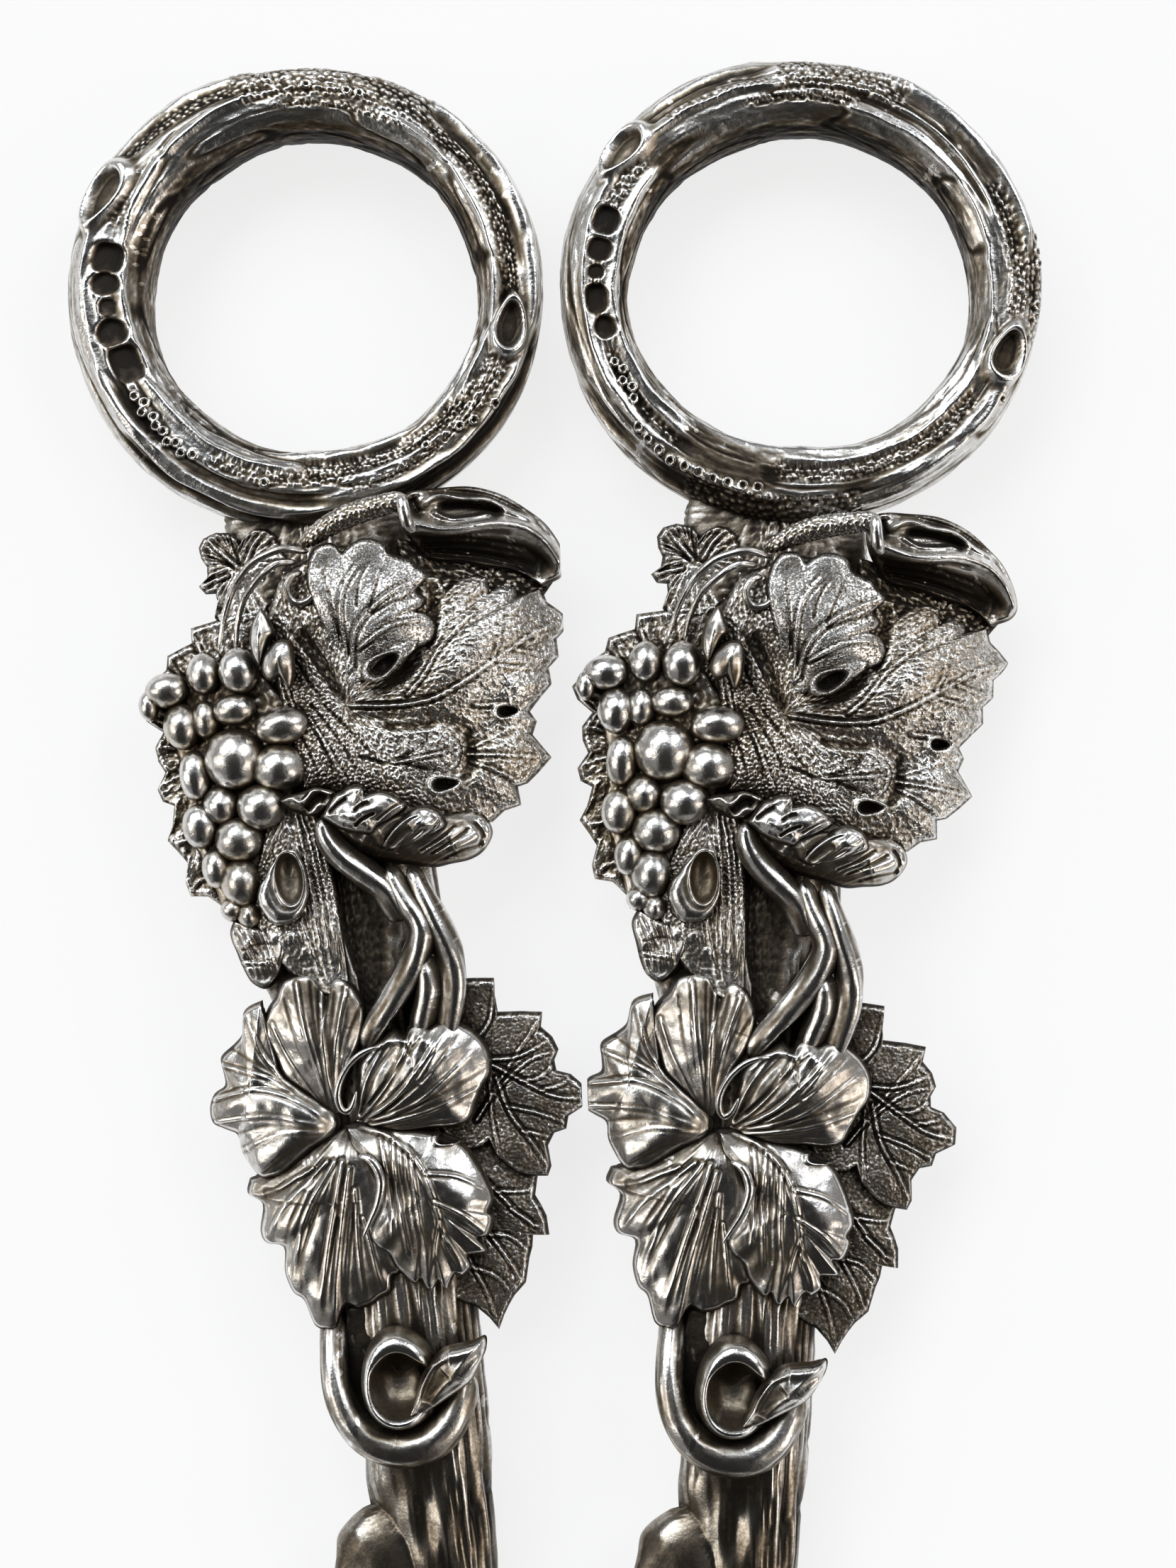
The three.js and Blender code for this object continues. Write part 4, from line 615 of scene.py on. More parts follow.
def leaf_patch(table, seed):
    """A leaf's closed sheet, whose table leaf() makes, with its darkness: tarnish in its recesses, and
    painted shade and highlights.
    """
    level_at, size = table["level"], table["thickness"]

    def at(pixels):
        return vine_points(pixels, level_at)

    def ovals(pixel, half_length, half_width, turn):
        """Places along and across an oval, in its half lengths."""
        away = spots - at(pixel)[0]
        c, s = math.cos(math.radians(turn)), math.sin(math.radians(turn))
        along, aside = away[..., 0] * c + away[..., 1] * s, away[..., 1] * c - away[..., 0] * s
        return along / half_length, aside / half_width

    def mound(*oval):
        along, aside = ovals(*oval)
        return np.exp(-(along ** 2 + aside ** 2) / 2)

    junction, edge, smooth = at(table["junction"])[0], at(table["edge"]), table["rounded"]
    if smooth:
        edge = curve_through(np.concatenate([edge, edge[:1]]), smooth * len(edge) + 1)[:-1]
    corners = edge_corners(junction, edge)[1]
    turns = full_turn(table["columns"]) + corners[0]
    if not smooth:
        corner_turns = (corners - corners[0]) % FULL_TURN + corners[0]
        turns = np.unique(np.round(np.concatenate([turns, corner_turns]), 5))
    reach = edge_reach(turns, junction, edge)

    def spread(shares):
        """The sheet's spots and how far each is from the edge, at shares of the way out."""
        steps = shares[:, None, None] * reach[None, :, None] * heading(turns)[None, :, :]
        return junction + steps, (1 - shares)[:, None] * reach[None, :]

    shares = np.linspace(MIDDLE_SHARE, 1, table["rows"]) ** 0.8
    spots, inward = spread(shares)
    relief = tarnish_and_shade = np.zeros(inward.shape)
    for oval_pixel, rise, *oval in table["swells"]:
        relief = relief + rise * mound(oval_pixel, *oval)
    vein_depth, vein_shade = table["vein_weights"]
    for path, rise, half_width in table["veins"]:
        raised, dark = vein_relief(spots, curve_through(at(path), VEIN_STEPS), rise, half_width)
        relief, tarnish_and_shade = relief + vein_depth * raised, tarnish_and_shade + vein_shade * dark
    # A ridge's darkness is tarnish in cut lines, painted shade under overhangs, and a painted highlight
    # where it is negative
    for path, rise, half_width, dark in table["ridges"]:
        away, share = line_distance(spots, curve_through(at(path), VEIN_STEPS))
        near = bell(away / half_width) * smoothstep(-0.06, 0.06, share) * smoothstep(1.06, 0.94, share)
        relief, tarnish_and_shade = relief + rise * near, tarnish_and_shade + dark * near
    if table["engraved"]:
        depth, root, lines = table["engraved"]
        away = spots - at([root])[0]
        around, outward = np.arctan2(away[..., 0], away[..., 1]) * lines, np.linalg.norm(away, axis=-1) / 5
        line = noise(stacked(around, outward), 1, seed + 15)
        line = line + 0.5 * noise(stacked(around * 2.3, outward * 1.4), 1, seed + 16)
        relief, tarnish_and_shade = relief + depth * line, tarnish_and_shade + 3.5 * depth * np.clip(-line, 0, 1)
    # Shading marks paint shade, a highlight where the amount is negative, and in broad places tarnish
    for oval_pixel, amount, *oval in table["shades"]:
        tarnish_and_shade = tarnish_and_shade + amount * mound(oval_pixel, *oval)
    if table["pleat"]:
        wave = turns * table["pleats"] / 2 + 1.5 * noise(stacked(turns * 3, turns * 0), 1, seed)
        wave = np.abs(np.sin(wave))
        relief = relief + table["pleat"] * (wave[None, :] - 0.5) * smoothstep(0.3, 1, shares)[:, None]
        tarnish_and_shade = tarnish_and_shade + 0.5 * fade(0.1, 0.35, wave)[None, :] * smoothstep(0.4, 0.9, shares)[:, None]
    if table["grain"]:
        pebble = pebbles(spots, table["grain_size"], seed, 0.45)
        lumps = rough_noise(spots, 0.9, seed + 2)
        relief = relief + table["grain"] * (0.9 * pebble + 0.25 * lumps - 0.3)
        tarnish_and_shade = tarnish_and_shade + table["grain_dark"] * (0.7 - 1.1 * pebble - 0.2 * lumps)
    relief = relief + table["wave"] * rough_noise(spots, 2.4, seed + 7)
    tarnish_and_shade = tarnish_and_shade + table["shade"]
    for hollow in table["hollows"]:
        along, aside = ovals(*hollow)
        oval = np.hypot(along, aside * (1 + 0.35 * along))
        rim, inside, calm = bell((oval - 1.15) / 0.2), fade(0.6, 1.0, oval), fade(1.1, 1.6, oval)
        relief = relief * (1 - calm) + 0.3 * rim - 0.75 * inside
        tarnish_and_shade = tarnish_and_shade * (1 - calm) + 0.75 * inside - 0.8 * rim
    relief = relief + table["rim"] * bell((inward - 0.3) / 0.25)
    # A thin line just inside the edge is painted bright as a highlight, and the edge band is painted dark as
    # shade
    tarnish_and_shade = tarnish_and_shade - 0.35 * bell((inward - 0.42) / 0.12) + 0.95 * fade(0.1, 0.3, inward)

    def turned_down(depths, near):
        return table["turn_down"] * np.exp(-depths / TURN_WIDTH) * smoothstep(0.05, 0.6, near)[:, None]

    lip = table["lip"]
    relief = relief - lip * np.exp(-inward / LIP_WIDTH) - turned_down(inward, shares)
    under_spots, depths = spread(UNDER_SHARES)
    under = level_at(under_spots[..., 0]) - lip - turned_down(depths, UNDER_SHARES)
    under = under - (size - lip) * (1 - np.exp(-depths / UNDER_WIDTH)) - UNDER_GAP
    grid = np.concatenate([
        np.concatenate([spots, (level_at(spots[..., 0]) + relief)[..., None]], -1),
        np.concatenate([under_spots, under[..., None]], -1),
    ])
    # The underside is painted dark as shade
    return closed_patch(grid, np.concatenate([tarnish_and_shade, np.full(under.shape, UNDER_PAINTED_SHADE)]))


UPPER_LEAF = leaf("484,995", 7.7, LEAF_FALL, 1.3, """
    393,808 434,785 465,767 511,767 552,781 593,804 621,811 635,839 652,811 672,809 689,811 696,838
    711,822 729,825 735,850 750,833 764,829 771,847 788,859 804,873 796,888 785,900 788,925 774,941
    778,964 763,982 747,1003 757,1017 751,1036 778,1068 759,1090 744,1105 730,1110 735,1136 711,1144
    694,1160 643,1165 575,1151 520,1131 484,1124 456,1113 425,1117 418,1085 411,1054 397,1013 388,967
    375,922 375,867""", veins="""
    488,995 556,995 613,985 663,957 711,923 756,892 797,876 .22 .14;
    575,980 597,954 620,915 652,881 686,847 .16 .12; 661,1064 711,1065 775,1068 .16 .1;
    665,1074 706,1090 734,1104 .1 .08; 665,1054 706,1035 743,1017 .1 .08;
    706,940 747,943 773,940 .1 .08; 670,995 711,995 743,1001 .1 .08; 725,915 756,922 784,924 .08 .08;
    697,931 706,890 706,849 .08 .08; 411,890 438,926 479,988 -.2 .16;
    420,995 447,1035 465,1076 479,1117 -.12 .12; 438,995 475,1040 511,1099 -.12 .12;
    456,995 497,1035 543,1085 -.12 .1; 411,1017 434,1058 452,1104 -.12 .1;
    506,1067 552,1077 620,1074 -.16 .12; 415,931 438,967 470,1001 -.14 .14;
    434,1013 461,1054 493,1113 .1 .1; 393,940 411,995 429,1040 .12 .12""", ridges="""
    488,1013 552,1013 611,1013 656,1031 -.3 .55 .1; 488,995 465,954 438,913 420,885 -.45 .4 .35;
    602,913 611,876 611,822 -.35 .35 .5; 661,1031 665,1067 656,1099 -.4 .3 .35;
    543,1024 575,1026 611,1022 -.4 .25 .35; 434,876 402,913 393,954 .35 .35 -.1""", swells="""
    656,922 .8 3.2 1.7 40; 725,976 .5 2.2 1.6 0; 715,1085 .35 1.8 1.5 0; 456,995 -.6 2.6 1.4 -55;
    465,1058 .3 2.4 1.4 -60; 675,1031 -.6 2.4 .9 60; 556,942 -1.3 1.4 .7 28""", shades="""
    600,880 .25 2.5 1.2 70; 560,985 .3 3 .8 5; 690,815 .35 4 .6 0; 655,1050 .35 .7 2.2 0;
    500,1090 .2 3 1 0; 440,900 .3 1 3.5 15; 740,960 -.15 3 4 0; 590,1050 -.2 2.6 1.4 0;
    420,1010 .2 1.4 3 0; 640,1130 .15 4 .8 10""", hollows="716,1003 .75 .4 0; 628,1106 .95 .45 0",
    grain=0.13, grain_size=0.29, grain_dark=0.5, turn_down=0.9, wave=0.2, columns=600, rows=88, rim=0.06)
# A sheet painted dark all over as the shadow behind the leaf's upper teeth, and the bright curled rim of the
# fold's eye
UPPER_PAINTED_SHADOW = leaf("688,817", 6.9, LEAF_FALL, 1.0, """
    556,758 584,763 620,767 688,774 756,785 788,804 779,822 768,838 756,858 711,858 665,858 611,845
    565,813""", grain=0.2, grain_size=0.4, grain_dark=1.0, shade=0.75, rim=0, columns=220, rows=34)
FOLD_HOLE = leaf("542,938", 8.6, LEAF_FALL, 1.8, """
    508,950 512,938 522,926 540,914 560,906 580,900 592,902 588,914 574,928 562,944 545,956 525,962
    512,960""", hollows="541,937 1.25 .6 28", columns=160, rows=40, wave=0.02, rim=0.0, lip=0.3)
UPPER_FOLD = leaf("511,890", 8.6, LEAF_FALL, 1.2, """
    434,784 444,768 464,763 472,768 479,776 489,768 503,759 522,757 540,764 550,778 570,785 580,787
    588,796 603,807 598,818 588,831 600,842 597,854 588,860 604,865 615,881 613,899 602,909 579,918
    556,925 536,936 520,954 497,967 479,954 465,922 452,885 438,849 429,813""", veins="""
    495,940 498,899 520,863 556,833 602,810 .2 .15; 489,931 481,881 484,831 510,790 .16 .14;
    484,922 468,858 454,799 -.22 .14; 506,915 543,888 575,876 609,873 .14 .13;
    520,863 531,826 538,799 -.16 .1; 502,854 506,822 522,790 -.14 .1; 525,865 556,849 588,838 -.16 .1;
    506,917 525,908 547,899 -.14 .1""",
    swells="547,876 .5 1.9 1.2 30; 484,931 -.9 1.6 .9 -70; 461,795 -.3 1.2 1 90; 515,785 -.2 1.4 1 90",
    turn_down=0.5, wave=0.12, columns=360, rows=56, lip=0.6, rim=0.08, rounded=3, vein_weights=(0.7, 0.9))
UPPER_LOBE = leaf("593,1065", 8.0, LEAF_FALL, 1.0, """
    545,1031 555,1039 568,1034 578,1040 590,1031 603,1038 609,1027 634,1031 650,1041 655,1059 652,1076
    643,1090 625,1095 602,1104 556,1099 529,1085 520,1067 534,1049""", veins="""
    529,1076 565,1074 602,1067 650,1054 .14 .12; 556,1074 584,1058 606,1040 -.16 .1;
    575,1079 602,1085 625,1088 -.16 .1; 543,1067 556,1054 563,1040 -.14 .1""",
    swells="606,1063 .35 1.4 .9 0; 529,1072 -.5 1 .8 0", grain=0.12, turn_down=0.5, wave=0.08, columns=240,
    rows=36, lip=0.5)

# The front leaf's lobes share its hollow heart and its looks
HEART = "493,1584 -.9 1.3 1 0; "
FRONT_LOOKS = {"wave": 0.2, "rim": 0.1, "lip": 0.5, "rounded": 4}


def front_lobe(*shape, swells="", **features):
    return leaf(*shape, swells=HEART + swells, **FRONT_LOOKS, **features)


FRONT_LOBES = [
    front_lobe("470,1700", 7.3, LEAF_FALL, 1.2, """
        349,1666 346,1687 367,1702 364,1740 373,1758 397,1764 399,1799 411,1828 426,1840 441,1875
        458,1882 473,1878 479,1858 488,1846 505,1852 523,1846 535,1837 549,1828 553,1806 566,1798
        575,1760 570,1700 545,1650 520,1612 490,1590 460,1600 420,1630 380,1650""", veins="""
        482,1640 464,1752 446,1869 .26 .15; 492,1650 478,1763 472,1860 .28 .15;
        470,1640 429,1722 411,1815 .22 .14; 460,1640 399,1705 376,1754 .22 .14;
        440,1650 388,1681 354,1690 .16 .12; 500,1680 506,1775 515,1845 .22 .13;
        512,1720 529,1787 540,1828 .2 .12; 476,1720 462,1800 458,1870 -.3 .1;
        500,1700 492,1780 490,1840 -.3 .1; 450,1700 425,1780 428,1830 -.25 .1;
        430,1680 405,1740 402,1780 -.2 .1""", ridges="372,1690 400,1680 440,1660 -.2 .4 .25",
        swells="425,1700 .35 2 .8 50; 500,1790 -.3 2.4 .8 90", shades="""
        380,1690 .3 2 1 -20; 500,1740 .2 3.5 .5 -80; 540,1800 .35 1.5 1.2 60; 425,1640 .35 2.5 .6 15""",
        turn_down=0.9, columns=300, rows=50, vein_weights=(0.4, 0.7), engraved=(0.022, (493, 1584), 18)),
    front_lobe("450,1480", 7.5, LEAF_FALL, 1.3, """
        367,1443 376,1422 388,1405 396,1384 414,1375 435,1373 447,1386 461,1400 466,1385 476,1377
        491,1384 505,1402 514,1422 514,1446 508,1472 499,1493 490,1516 482,1545 478,1578 464,1577
        446,1560 423,1542 399,1524 388,1502 379,1481 370,1462""", veins="""
        453,1400 458,1487 470,1572 .24 .14; 417,1387 432,1458 462,1565 .18 .12;
        382,1446 405,1493 456,1567 .18 .12; 488,1393 476,1458 470,1550 .18 .12;
        508,1420 488,1470 474,1540 -.14 .09; 400,1410 420,1480 455,1555 -.14 .09;
        436,1385 446,1460 464,1555 -.14 .09; 470,1400 466,1460 466,1530 -.14 .09""",
        ridges="425,1395 440,1420 450,1440 .1 .9 .35; 490,1400 494,1430 490,1450 .1 .7 .35",
        swells="425,1440 .45 2.4 1 118; 488,1430 .35 1.8 .6 80; 459,1420 -.35 1.6 .4 95",
        shades="425,1400 .4 1.6 1 20; 490,1400 .3 .8 1.2 0; 459,1470 .2 2.5 .6 90", turn_down=0.7,
        columns=280, rows=44, vein_weights=(0.35, 0.6), engraved=(0.012, (493, 1584), 12)),
    front_lobe("590,1530", 7.7, LEAF_FALL, 1.3, """
        494,1588 500,1560 502,1530 505,1502 520,1482 535,1466 552,1452 569,1460 576,1446 590,1440
        605,1448 617,1442 638,1439 655,1448 676,1463 690,1484 693,1513 682,1534 673,1558 663,1582
        641,1592 611,1595 576,1600 540,1598 510,1594""", veins="""
        502,1578 518,1520 547,1468 .2 .12; 506,1580 546,1530 586,1450 .22 .13;
        512,1584 566,1540 630,1448 .24 .14; 516,1586 590,1555 672,1480 .2 .13;
        520,1590 600,1570 686,1530 .18 .12; 530,1594 600,1586 660,1576 -.16 .1;
        520,1560 565,1500 606,1450 -.3 .1; 540,1570 600,1520 652,1455 -.3 .1;
        512,1560 532,1510 566,1464 -.24 .1; 560,1572 620,1545 688,1505 -.2 .1""",
        ridges="525,1480 552,1468 575,1470 .35 .3 -.3; 590,1460 612,1480 600,1510 .2 .5 -.2",
        swells="600,1490 .7 2.2 1.4 50; 650,1545 .25 1.6 1 20",
        shades="560,1500 .3 2.6 .7 50; 600,1560 .3 2.8 .7 10; 640,1500 .15 2 1 40", turn_down=0.8,
        columns=300, rows=44, vein_weights=(0.45, 0.7), engraved=(0.016, (493, 1584), 14)),
    front_lobe("352,1542", 7.8, LEAF_FALL, 1.4, """
        367,1413 349,1421 340,1431 339,1450 337,1463 326,1476 308,1494 312,1516 314,1534 299,1546
        293,1566 297,1587 314,1596 332,1605 338,1628 352,1649 367,1665 382,1664 397,1660 417,1643
        440,1623 461,1611 476,1595 474,1577 452,1558 423,1537 397,1516 388,1487 377,1452""", veins="""
        299,1552 358,1537 417,1552 468,1587 .26 .14; 311,1503 376,1522 447,1567 .18 .12;
        346,1434 376,1499 436,1557 .18 .12; 303,1584 376,1575 460,1590 .16 .11;
        341,1624 394,1599 464,1598 .16 .11; 371,1656 411,1622 460,1603 -.2 .1;
        322,1480 372,1508 430,1552 -.14 .09; 322,1604 380,1588 450,1594 -.16 .09""",
        swells="405,1618 .75 2.3 .9 32; 350,1560 .3 2 1 0",
        shades="320,1500 .2 1.5 1.5 0; 430,1625 .45 2.2 .8 32; 400,1500 .3 2 .6 -50; 330,1560 .1 2 1 0",
        turn_down=0.9, columns=300, rows=46, vein_weights=(0.35, 0.6), engraved=(0.008, (493, 1584), 12)),
    front_lobe("595,1690", 7.9, LEAF_FALL, 1.4, """
        484,1592 505,1588 546,1594 588,1596 623,1602 655,1618 676,1646 691,1675 696,1695 690,1712
        696,1722 689,1746 676,1752 686,1770 661,1776 664,1792 652,1805 640,1804 629,1826 618,1813
        605,1828 593,1811 584,1818 573,1810 558,1796 546,1775 529,1764 519,1746 530,1716 538,1690
        536,1666 524,1642 508,1630 494,1618""", veins="""
        506,1590 552,1606 590,1642 612,1690 632,1775 .28 .14; 600,1655 645,1660 688,1680 .16 .11;
        613,1695 655,1715 688,1744 .16 .11; 580,1632 588,1700 600,1765 .18 .12;
        554,1612 560,1685 577,1778 .2 .12; 536,1606 548,1672 554,1752 .2 .12;
        620,1725 612,1775 608,1812 .14 .1; 626,1745 645,1775 652,1798 .12 .1;
        568,1625 573,1690 588,1780 -.16 .09""",
        swells="655,1700 .55 2.4 1.2 -50; 560,1640 .4 1.6 1 -40; 575,1760 -.2 1.6 .8 80",
        shades="570,1770 .4 2 1.6 30; 540,1640 .25 2.4 .6 -70; 640,1620 .2 2 .6 -20",
        hollows="634,1608 .95 .34 -8", turn_down=0.9, columns=340, rows=52, vein_weights=(0.45, 0.65),
        engraved=(0.01, (493, 1584), 14)),
]
# Bright rolled edges: the loop of the upper eye, and the crescent below the heart
EYE_LOOP = read_points("""
    503,1540,1.9 497,1560,1.6 488,1568,1.5 479,1560,1.7 476,1542,1.9 481,1522,2 491,1504,2.1
    504,1490,2.2 520,1481,2.2 537,1476,2.1""")
EYE_LOOP_RADII = (0.12, 0.2, 0.22, 0.24, 0.24, 0.22, 0.2, 0.2, 0.16, 0.1)
CRESCENT = read_points("""
    506,1630,1.7 521,1635,1.9 533,1650,2 538,1670,2 533,1698,1.9 522,1724,1.8 512,1746,1.7""")
CRESCENT_RADII = (0.15, 0.3, 0.34, 0.32, 0.26, 0.2, 0.1)
BACK_LOBES = [
    leaf("660,1720", 5.1, 1.4, 1.2, """
        650,1560 700,1570 740,1620 760,1655 758,1663 755,1687 763,1700 771,1716 775,1743 752,1743
        751,1760 747,1775 742,1810 726,1828 718,1842 711,1857 704,1877 690,1860 672,1845 640,1835
        600,1820 580,1740 600,1640""", veins="""
        650,1640 700,1680 735,1715 770,1738 .2 .13; 640,1680 690,1740 720,1780 738,1815 .2 .13;
        640,1740 670,1790 690,1830 703,1868 .18 .13; 700,1680 740,1680 752,1675 .12 .1;
        720,1705 745,1720 754,1740 .1 .09; 690,1740 720,1745 745,1765 .12 .1;
        665,1785 700,1800 722,1826 .12 .1""", swells="700,1680 .3 2 1 -40; 690,1780 .3 2 1 -60", grain=0.05,
        grain_size=0.26, grain_dark=0.35, wave=0.14, columns=300, rows=56, rim=0.08, shade=0.3),
    leaf("690,1540", 5.7, 1.5, 1.2, """
        600,1420 625,1400 643,1381 670,1380 697,1380 698,1405 702,1428 735,1427 765,1428 763,1449
        779,1463 788,1481 782,1496 785,1511 805,1516 826,1534 828,1558 802,1575 799,1593 782,1599
        773,1617 778,1646 773,1660 745,1660 729,1655 715,1645 702,1634 690,1611 680,1620 640,1630
        600,1560""", veins="""
        672,1580 700,1540 740,1500 782,1482 .18 .12; 672,1580 720,1500 750,1455 764,1430 .12 .1;
        660,1480 690,1440 697,1384 .16 .12; 690,1495 730,1490 775,1468 .2 .12;
        690,1500 730,1520 780,1545 826,1550 .22 .13; 700,1520 720,1570 750,1610 775,1650 .2 .13;
        735,1524 760,1520 784,1500 .1 .09; 765,1537 790,1530 806,1520 .1 .09;
        715,1560 760,1570 798,1585 .14 .1; 738,1595 760,1600 778,1605 .1 .09;
        690,1530 695,1580 705,1630 .14 .1""",
        swells="740,1470 .3 1.8 1.2 0; 770,1560 .25 2 1.2 -30; 730,1610 .3 1.4 1 -60", grain=0.05,
        grain_size=0.26, grain_dark=0.35, wave=0.14, columns=360, rows=62, rim=0.08, shade=0.3),
]
GRAPE_LEAF = leaf("356,1031", 5.3, 1.5, 1.1, """
    375,854 334,863 302,876 268,886 269,907 255,914 235,925 233,945 211,967 204,988 196,1001 206,1018
    229,1033 218,1055 222,1074 232,1090 221,1114 228,1131 245,1137 242,1165 235,1186 252,1204 264,1218
    261,1245 268,1265 293,1265 303,1272 315,1281 356,1240 411,1172 429,1058 420,922""", veins="""
    311,958 284,922 272,892 .2 .15; 302,995 256,958 238,931 .2 .15; 275,1085 243,1099 224,1113 .2 .15;
    284,1176 256,1188 239,1185 .2 .15; 302,1231 279,1245 268,1260 .2 .15;
    256,1058 234,1054 221,1058 .16 .13""", pleat=0.14, pleats=34, grain=0.12, grain_size=0.34, wave=0.25,
    columns=420, rows=44, rim=0.25, shade=0.1)
SMALL_LEAF = leaf("334,795", 5.2, 1.1, 1.1, """
    411,795 397,772 388,753 375,745 359,745 346,755 337,768 334,758 322,751 303,751 286,759 279,773
    283,788 291,800 291,815 279,827 289,838 303,837 306,849 302,872 320,890 365,876 402,840""", veins="""
    334,799 311,779 293,763 .2 .14; 338,795 329,772 315,755 -.22 .13; 347,795 356,772 369,750 .2 .14;
    356,799 375,776 386,758 -.2 .12; 320,813 302,820 284,829 .18 .13; 329,799 306,790 285,781 -.2 .12""",
    pleat=0.25, pleats=34, grain=0.05, wave=0.1, columns=260, rows=40, rim=0.25, lip=0.5)
SEPALS = [
    leaf("366,896", 9.0, 3.2, 2.8,
        "367,856 374,866 381,878 386,890 381,900 377,910 372,923 365,940 357,927 351,907 353,883 360,867",
        swells="364,900 .35 1 .5 80", shades="374,905 .6 1.2 .3 80; 361,885 -.2 1.2 .3 80", columns=160,
        rows=30, wave=0.03, turn_down=0.25, lip=0.3, rim=0.02, rounded=3),
    leaf("392,932", 9.1, 3.2, 2.8, """
        378,914 386,906 396,902 406,904 412,916 415,936 414,956 408,973 400,962 394,954 387,958 380,960
        373,956 368,944 370,926""", swells="394,928 .5 .9 .7 80",
        shades="405,952 .7 .9 .22 80; 386,945 .6 .7 .2 80; 396,936 .3 .8 .15 80", columns=150, rows=30,
        wave=0.03, turn_down=0.2, lip=0.3, rim=0, rounded=3),
]

# Grapes: where the photograph shows each, with its half width and half height in millimetres, and their bed
GRAPES = read_points("""
    284,951,1.12,1.38 336,946,1.3,1.52 231,973,1.42,1.15 253,1025,1.2,1.52 288,1015,.95,1.3
    330,1001,1.38,1.05 398,1024,1.8,1.25 330,1071,2.02,2.08 394,1084,1.78,1.55 272,1094,1.05,1.7
    310,1136,1.22,1.35 368,1138,1.62,1.5 279,1166,1.2,1.52 335,1185,1.6,1.5 303,1225,1,1.35
    338,1246,1.28,1.58 205,996,.65,1 326,1284,.85,.85 350,1292,.8,.9""")
GRAPE_LEVEL = 5.3
GRAPE_STEM_RISE = 1.2
GRAPE_ROWS = 34
GRAPE_SIDES = 56
GRAPE_FULL_HEIGHT = 1.9
SMALLEST_RAISED_GRAPE = 0.9
BUNCH_BED = leaf("329,1085", 6.35, 2.2, 1.4, """
    334,931 302,940 256,976 238,1031 261,1104 265,1176 297,1240 320,1299 375,1276 375,1195 411,1131
    429,1067 411,995 375,954""", columns=200, rows=34, grain=0.15, grain_dark=0.5, wave=0.2, shade=0.1,
    rim=0)


def grape_patch(x, y, half_u, half_w, seed):
    """A grape: nearly a ball, stretched, with its own small swellings, painted darker down its sides and
    underneath as shade.
    """
    spot = vine_points([(x, y)], lambda u: GRAPE_LEVEL + 1.5 + 0 * u)[0]
    rise = smoothstep(-0.75 * SPREAD, -0.4 * SPREAD, spot[0])
    lean = np.linspace(0.04, math.pi - 0.04, GRAPE_ROWS)[:, None]
    turn = full_turn(GRAPE_SIDES)[None, :]
    ball = stacked(np.sin(lean) * np.cos(turn), np.sin(lean) * np.sin(turn), np.cos(lean))
    radius = 1 + 0.04 * noise(ball * 1.3 + seed * 9, 1, seed) + 0.012 * noise(ball * 4 + seed * 5, 1, seed)
    sizes = (1.08 * half_u, 1.06 * half_w, 0.96 * min(half_u, half_w) + 0.25)
    raised = 0.35 * (GRAPE_FULL_HEIGHT - sizes[2]) * (half_u > SMALLEST_RAISED_GRAPE)
    level = GRAPE_LEVEL + GRAPE_STEM_RISE * rise + raised
    # The grape is painted darker down its sides and underneath as shade
    return closed_patch(ball * radius[..., None] * sizes + (*spot, level), 0.55 * smoothstep(1.0, 1.9, lean))


# Ground of the stem that shows between the castings on it: bark right of the grapes, a crumpled leaf under
# the knot, and the web inside the hook
STEM_GROUNDS = [
    leaf("425,1240", 7.0, 3.0, 1.6, """
        392,1118 415,1128 440,1140 455,1160 462,1190 468,1225 476,1270 484,1320 490,1370 492,1410
        470,1410 440,1395 405,1370 372,1330 352,1290 356,1240 368,1190 380,1150""", veins="""
        425,1150 440,1200 456,1290 474,1390 .26 .14; 418,1150 432,1220 446,1300 462,1390 .24 .13;
        432,1150 448,1200 464,1280 484,1370 .2 .13; 410,1150 420,1210 436,1300 448,1380 -.2 .1;
        436,1158 456,1220 470,1300 -.2 .1; 402,1150 384,1190 366,1240 .16 .12;
        398,1140 376,1180 362,1220 -.16 .1; 425,1300 440,1345 458,1395 .24 .14""", grain=0.1,
        grain_size=0.26, grain_dark=0.3, wave=0.3, columns=300, rows=60, rim=0, rounded=4,
        vein_weights=(0.4, 0.3)),
    leaf("362,1345", 7.1, 3.0, 1.6, """
        330,1296 352,1304 372,1308 395,1312 404,1330 402,1352 394,1378 376,1396 356,1388 344,1370
        334,1345 324,1318""", veins="""
        335,1310 352,1340 366,1385 .3 .13; 352,1312 368,1342 380,1385 -.35 .14;
        372,1315 382,1345 390,1372 .3 .13; 345,1340 372,1332 396,1335 -.3 .13;
        340,1360 366,1358 392,1360 .24 .13""",
        swells="350,1330 .5 .7 .4 60; 378,1360 .5 .8 .5 40; 384,1325 .3 .7 .4 0", wave=0.5, columns=220,
        rows=40, rim=0.1, rounded=4, vein_weights=(0.35, 0.3)),
    leaf("545,1940", 5.4, 1.0, 2.0, """
        486,1840 560,1836 600,1846 636,1900 634,1980 604,2020 570,2032 536,2022 508,1998 490,1965
        484,1930 484,1885""", wave=0.3, columns=200, rows=40, rim=0, shade=0.9, rounded=4),
]


# Round shoots: points with a rise over the stem's crest, and radii along them

def beaded(height, seed, size):
    """Relief of a shoot covered with beads."""
    def relief_at(travelled, turn, radius):
        bead = pebbles(stacked(travelled, turn * radius), size, seed, 0.4)
        return height * bead - height, 0.35 * (1 - bead)
    return relief_at


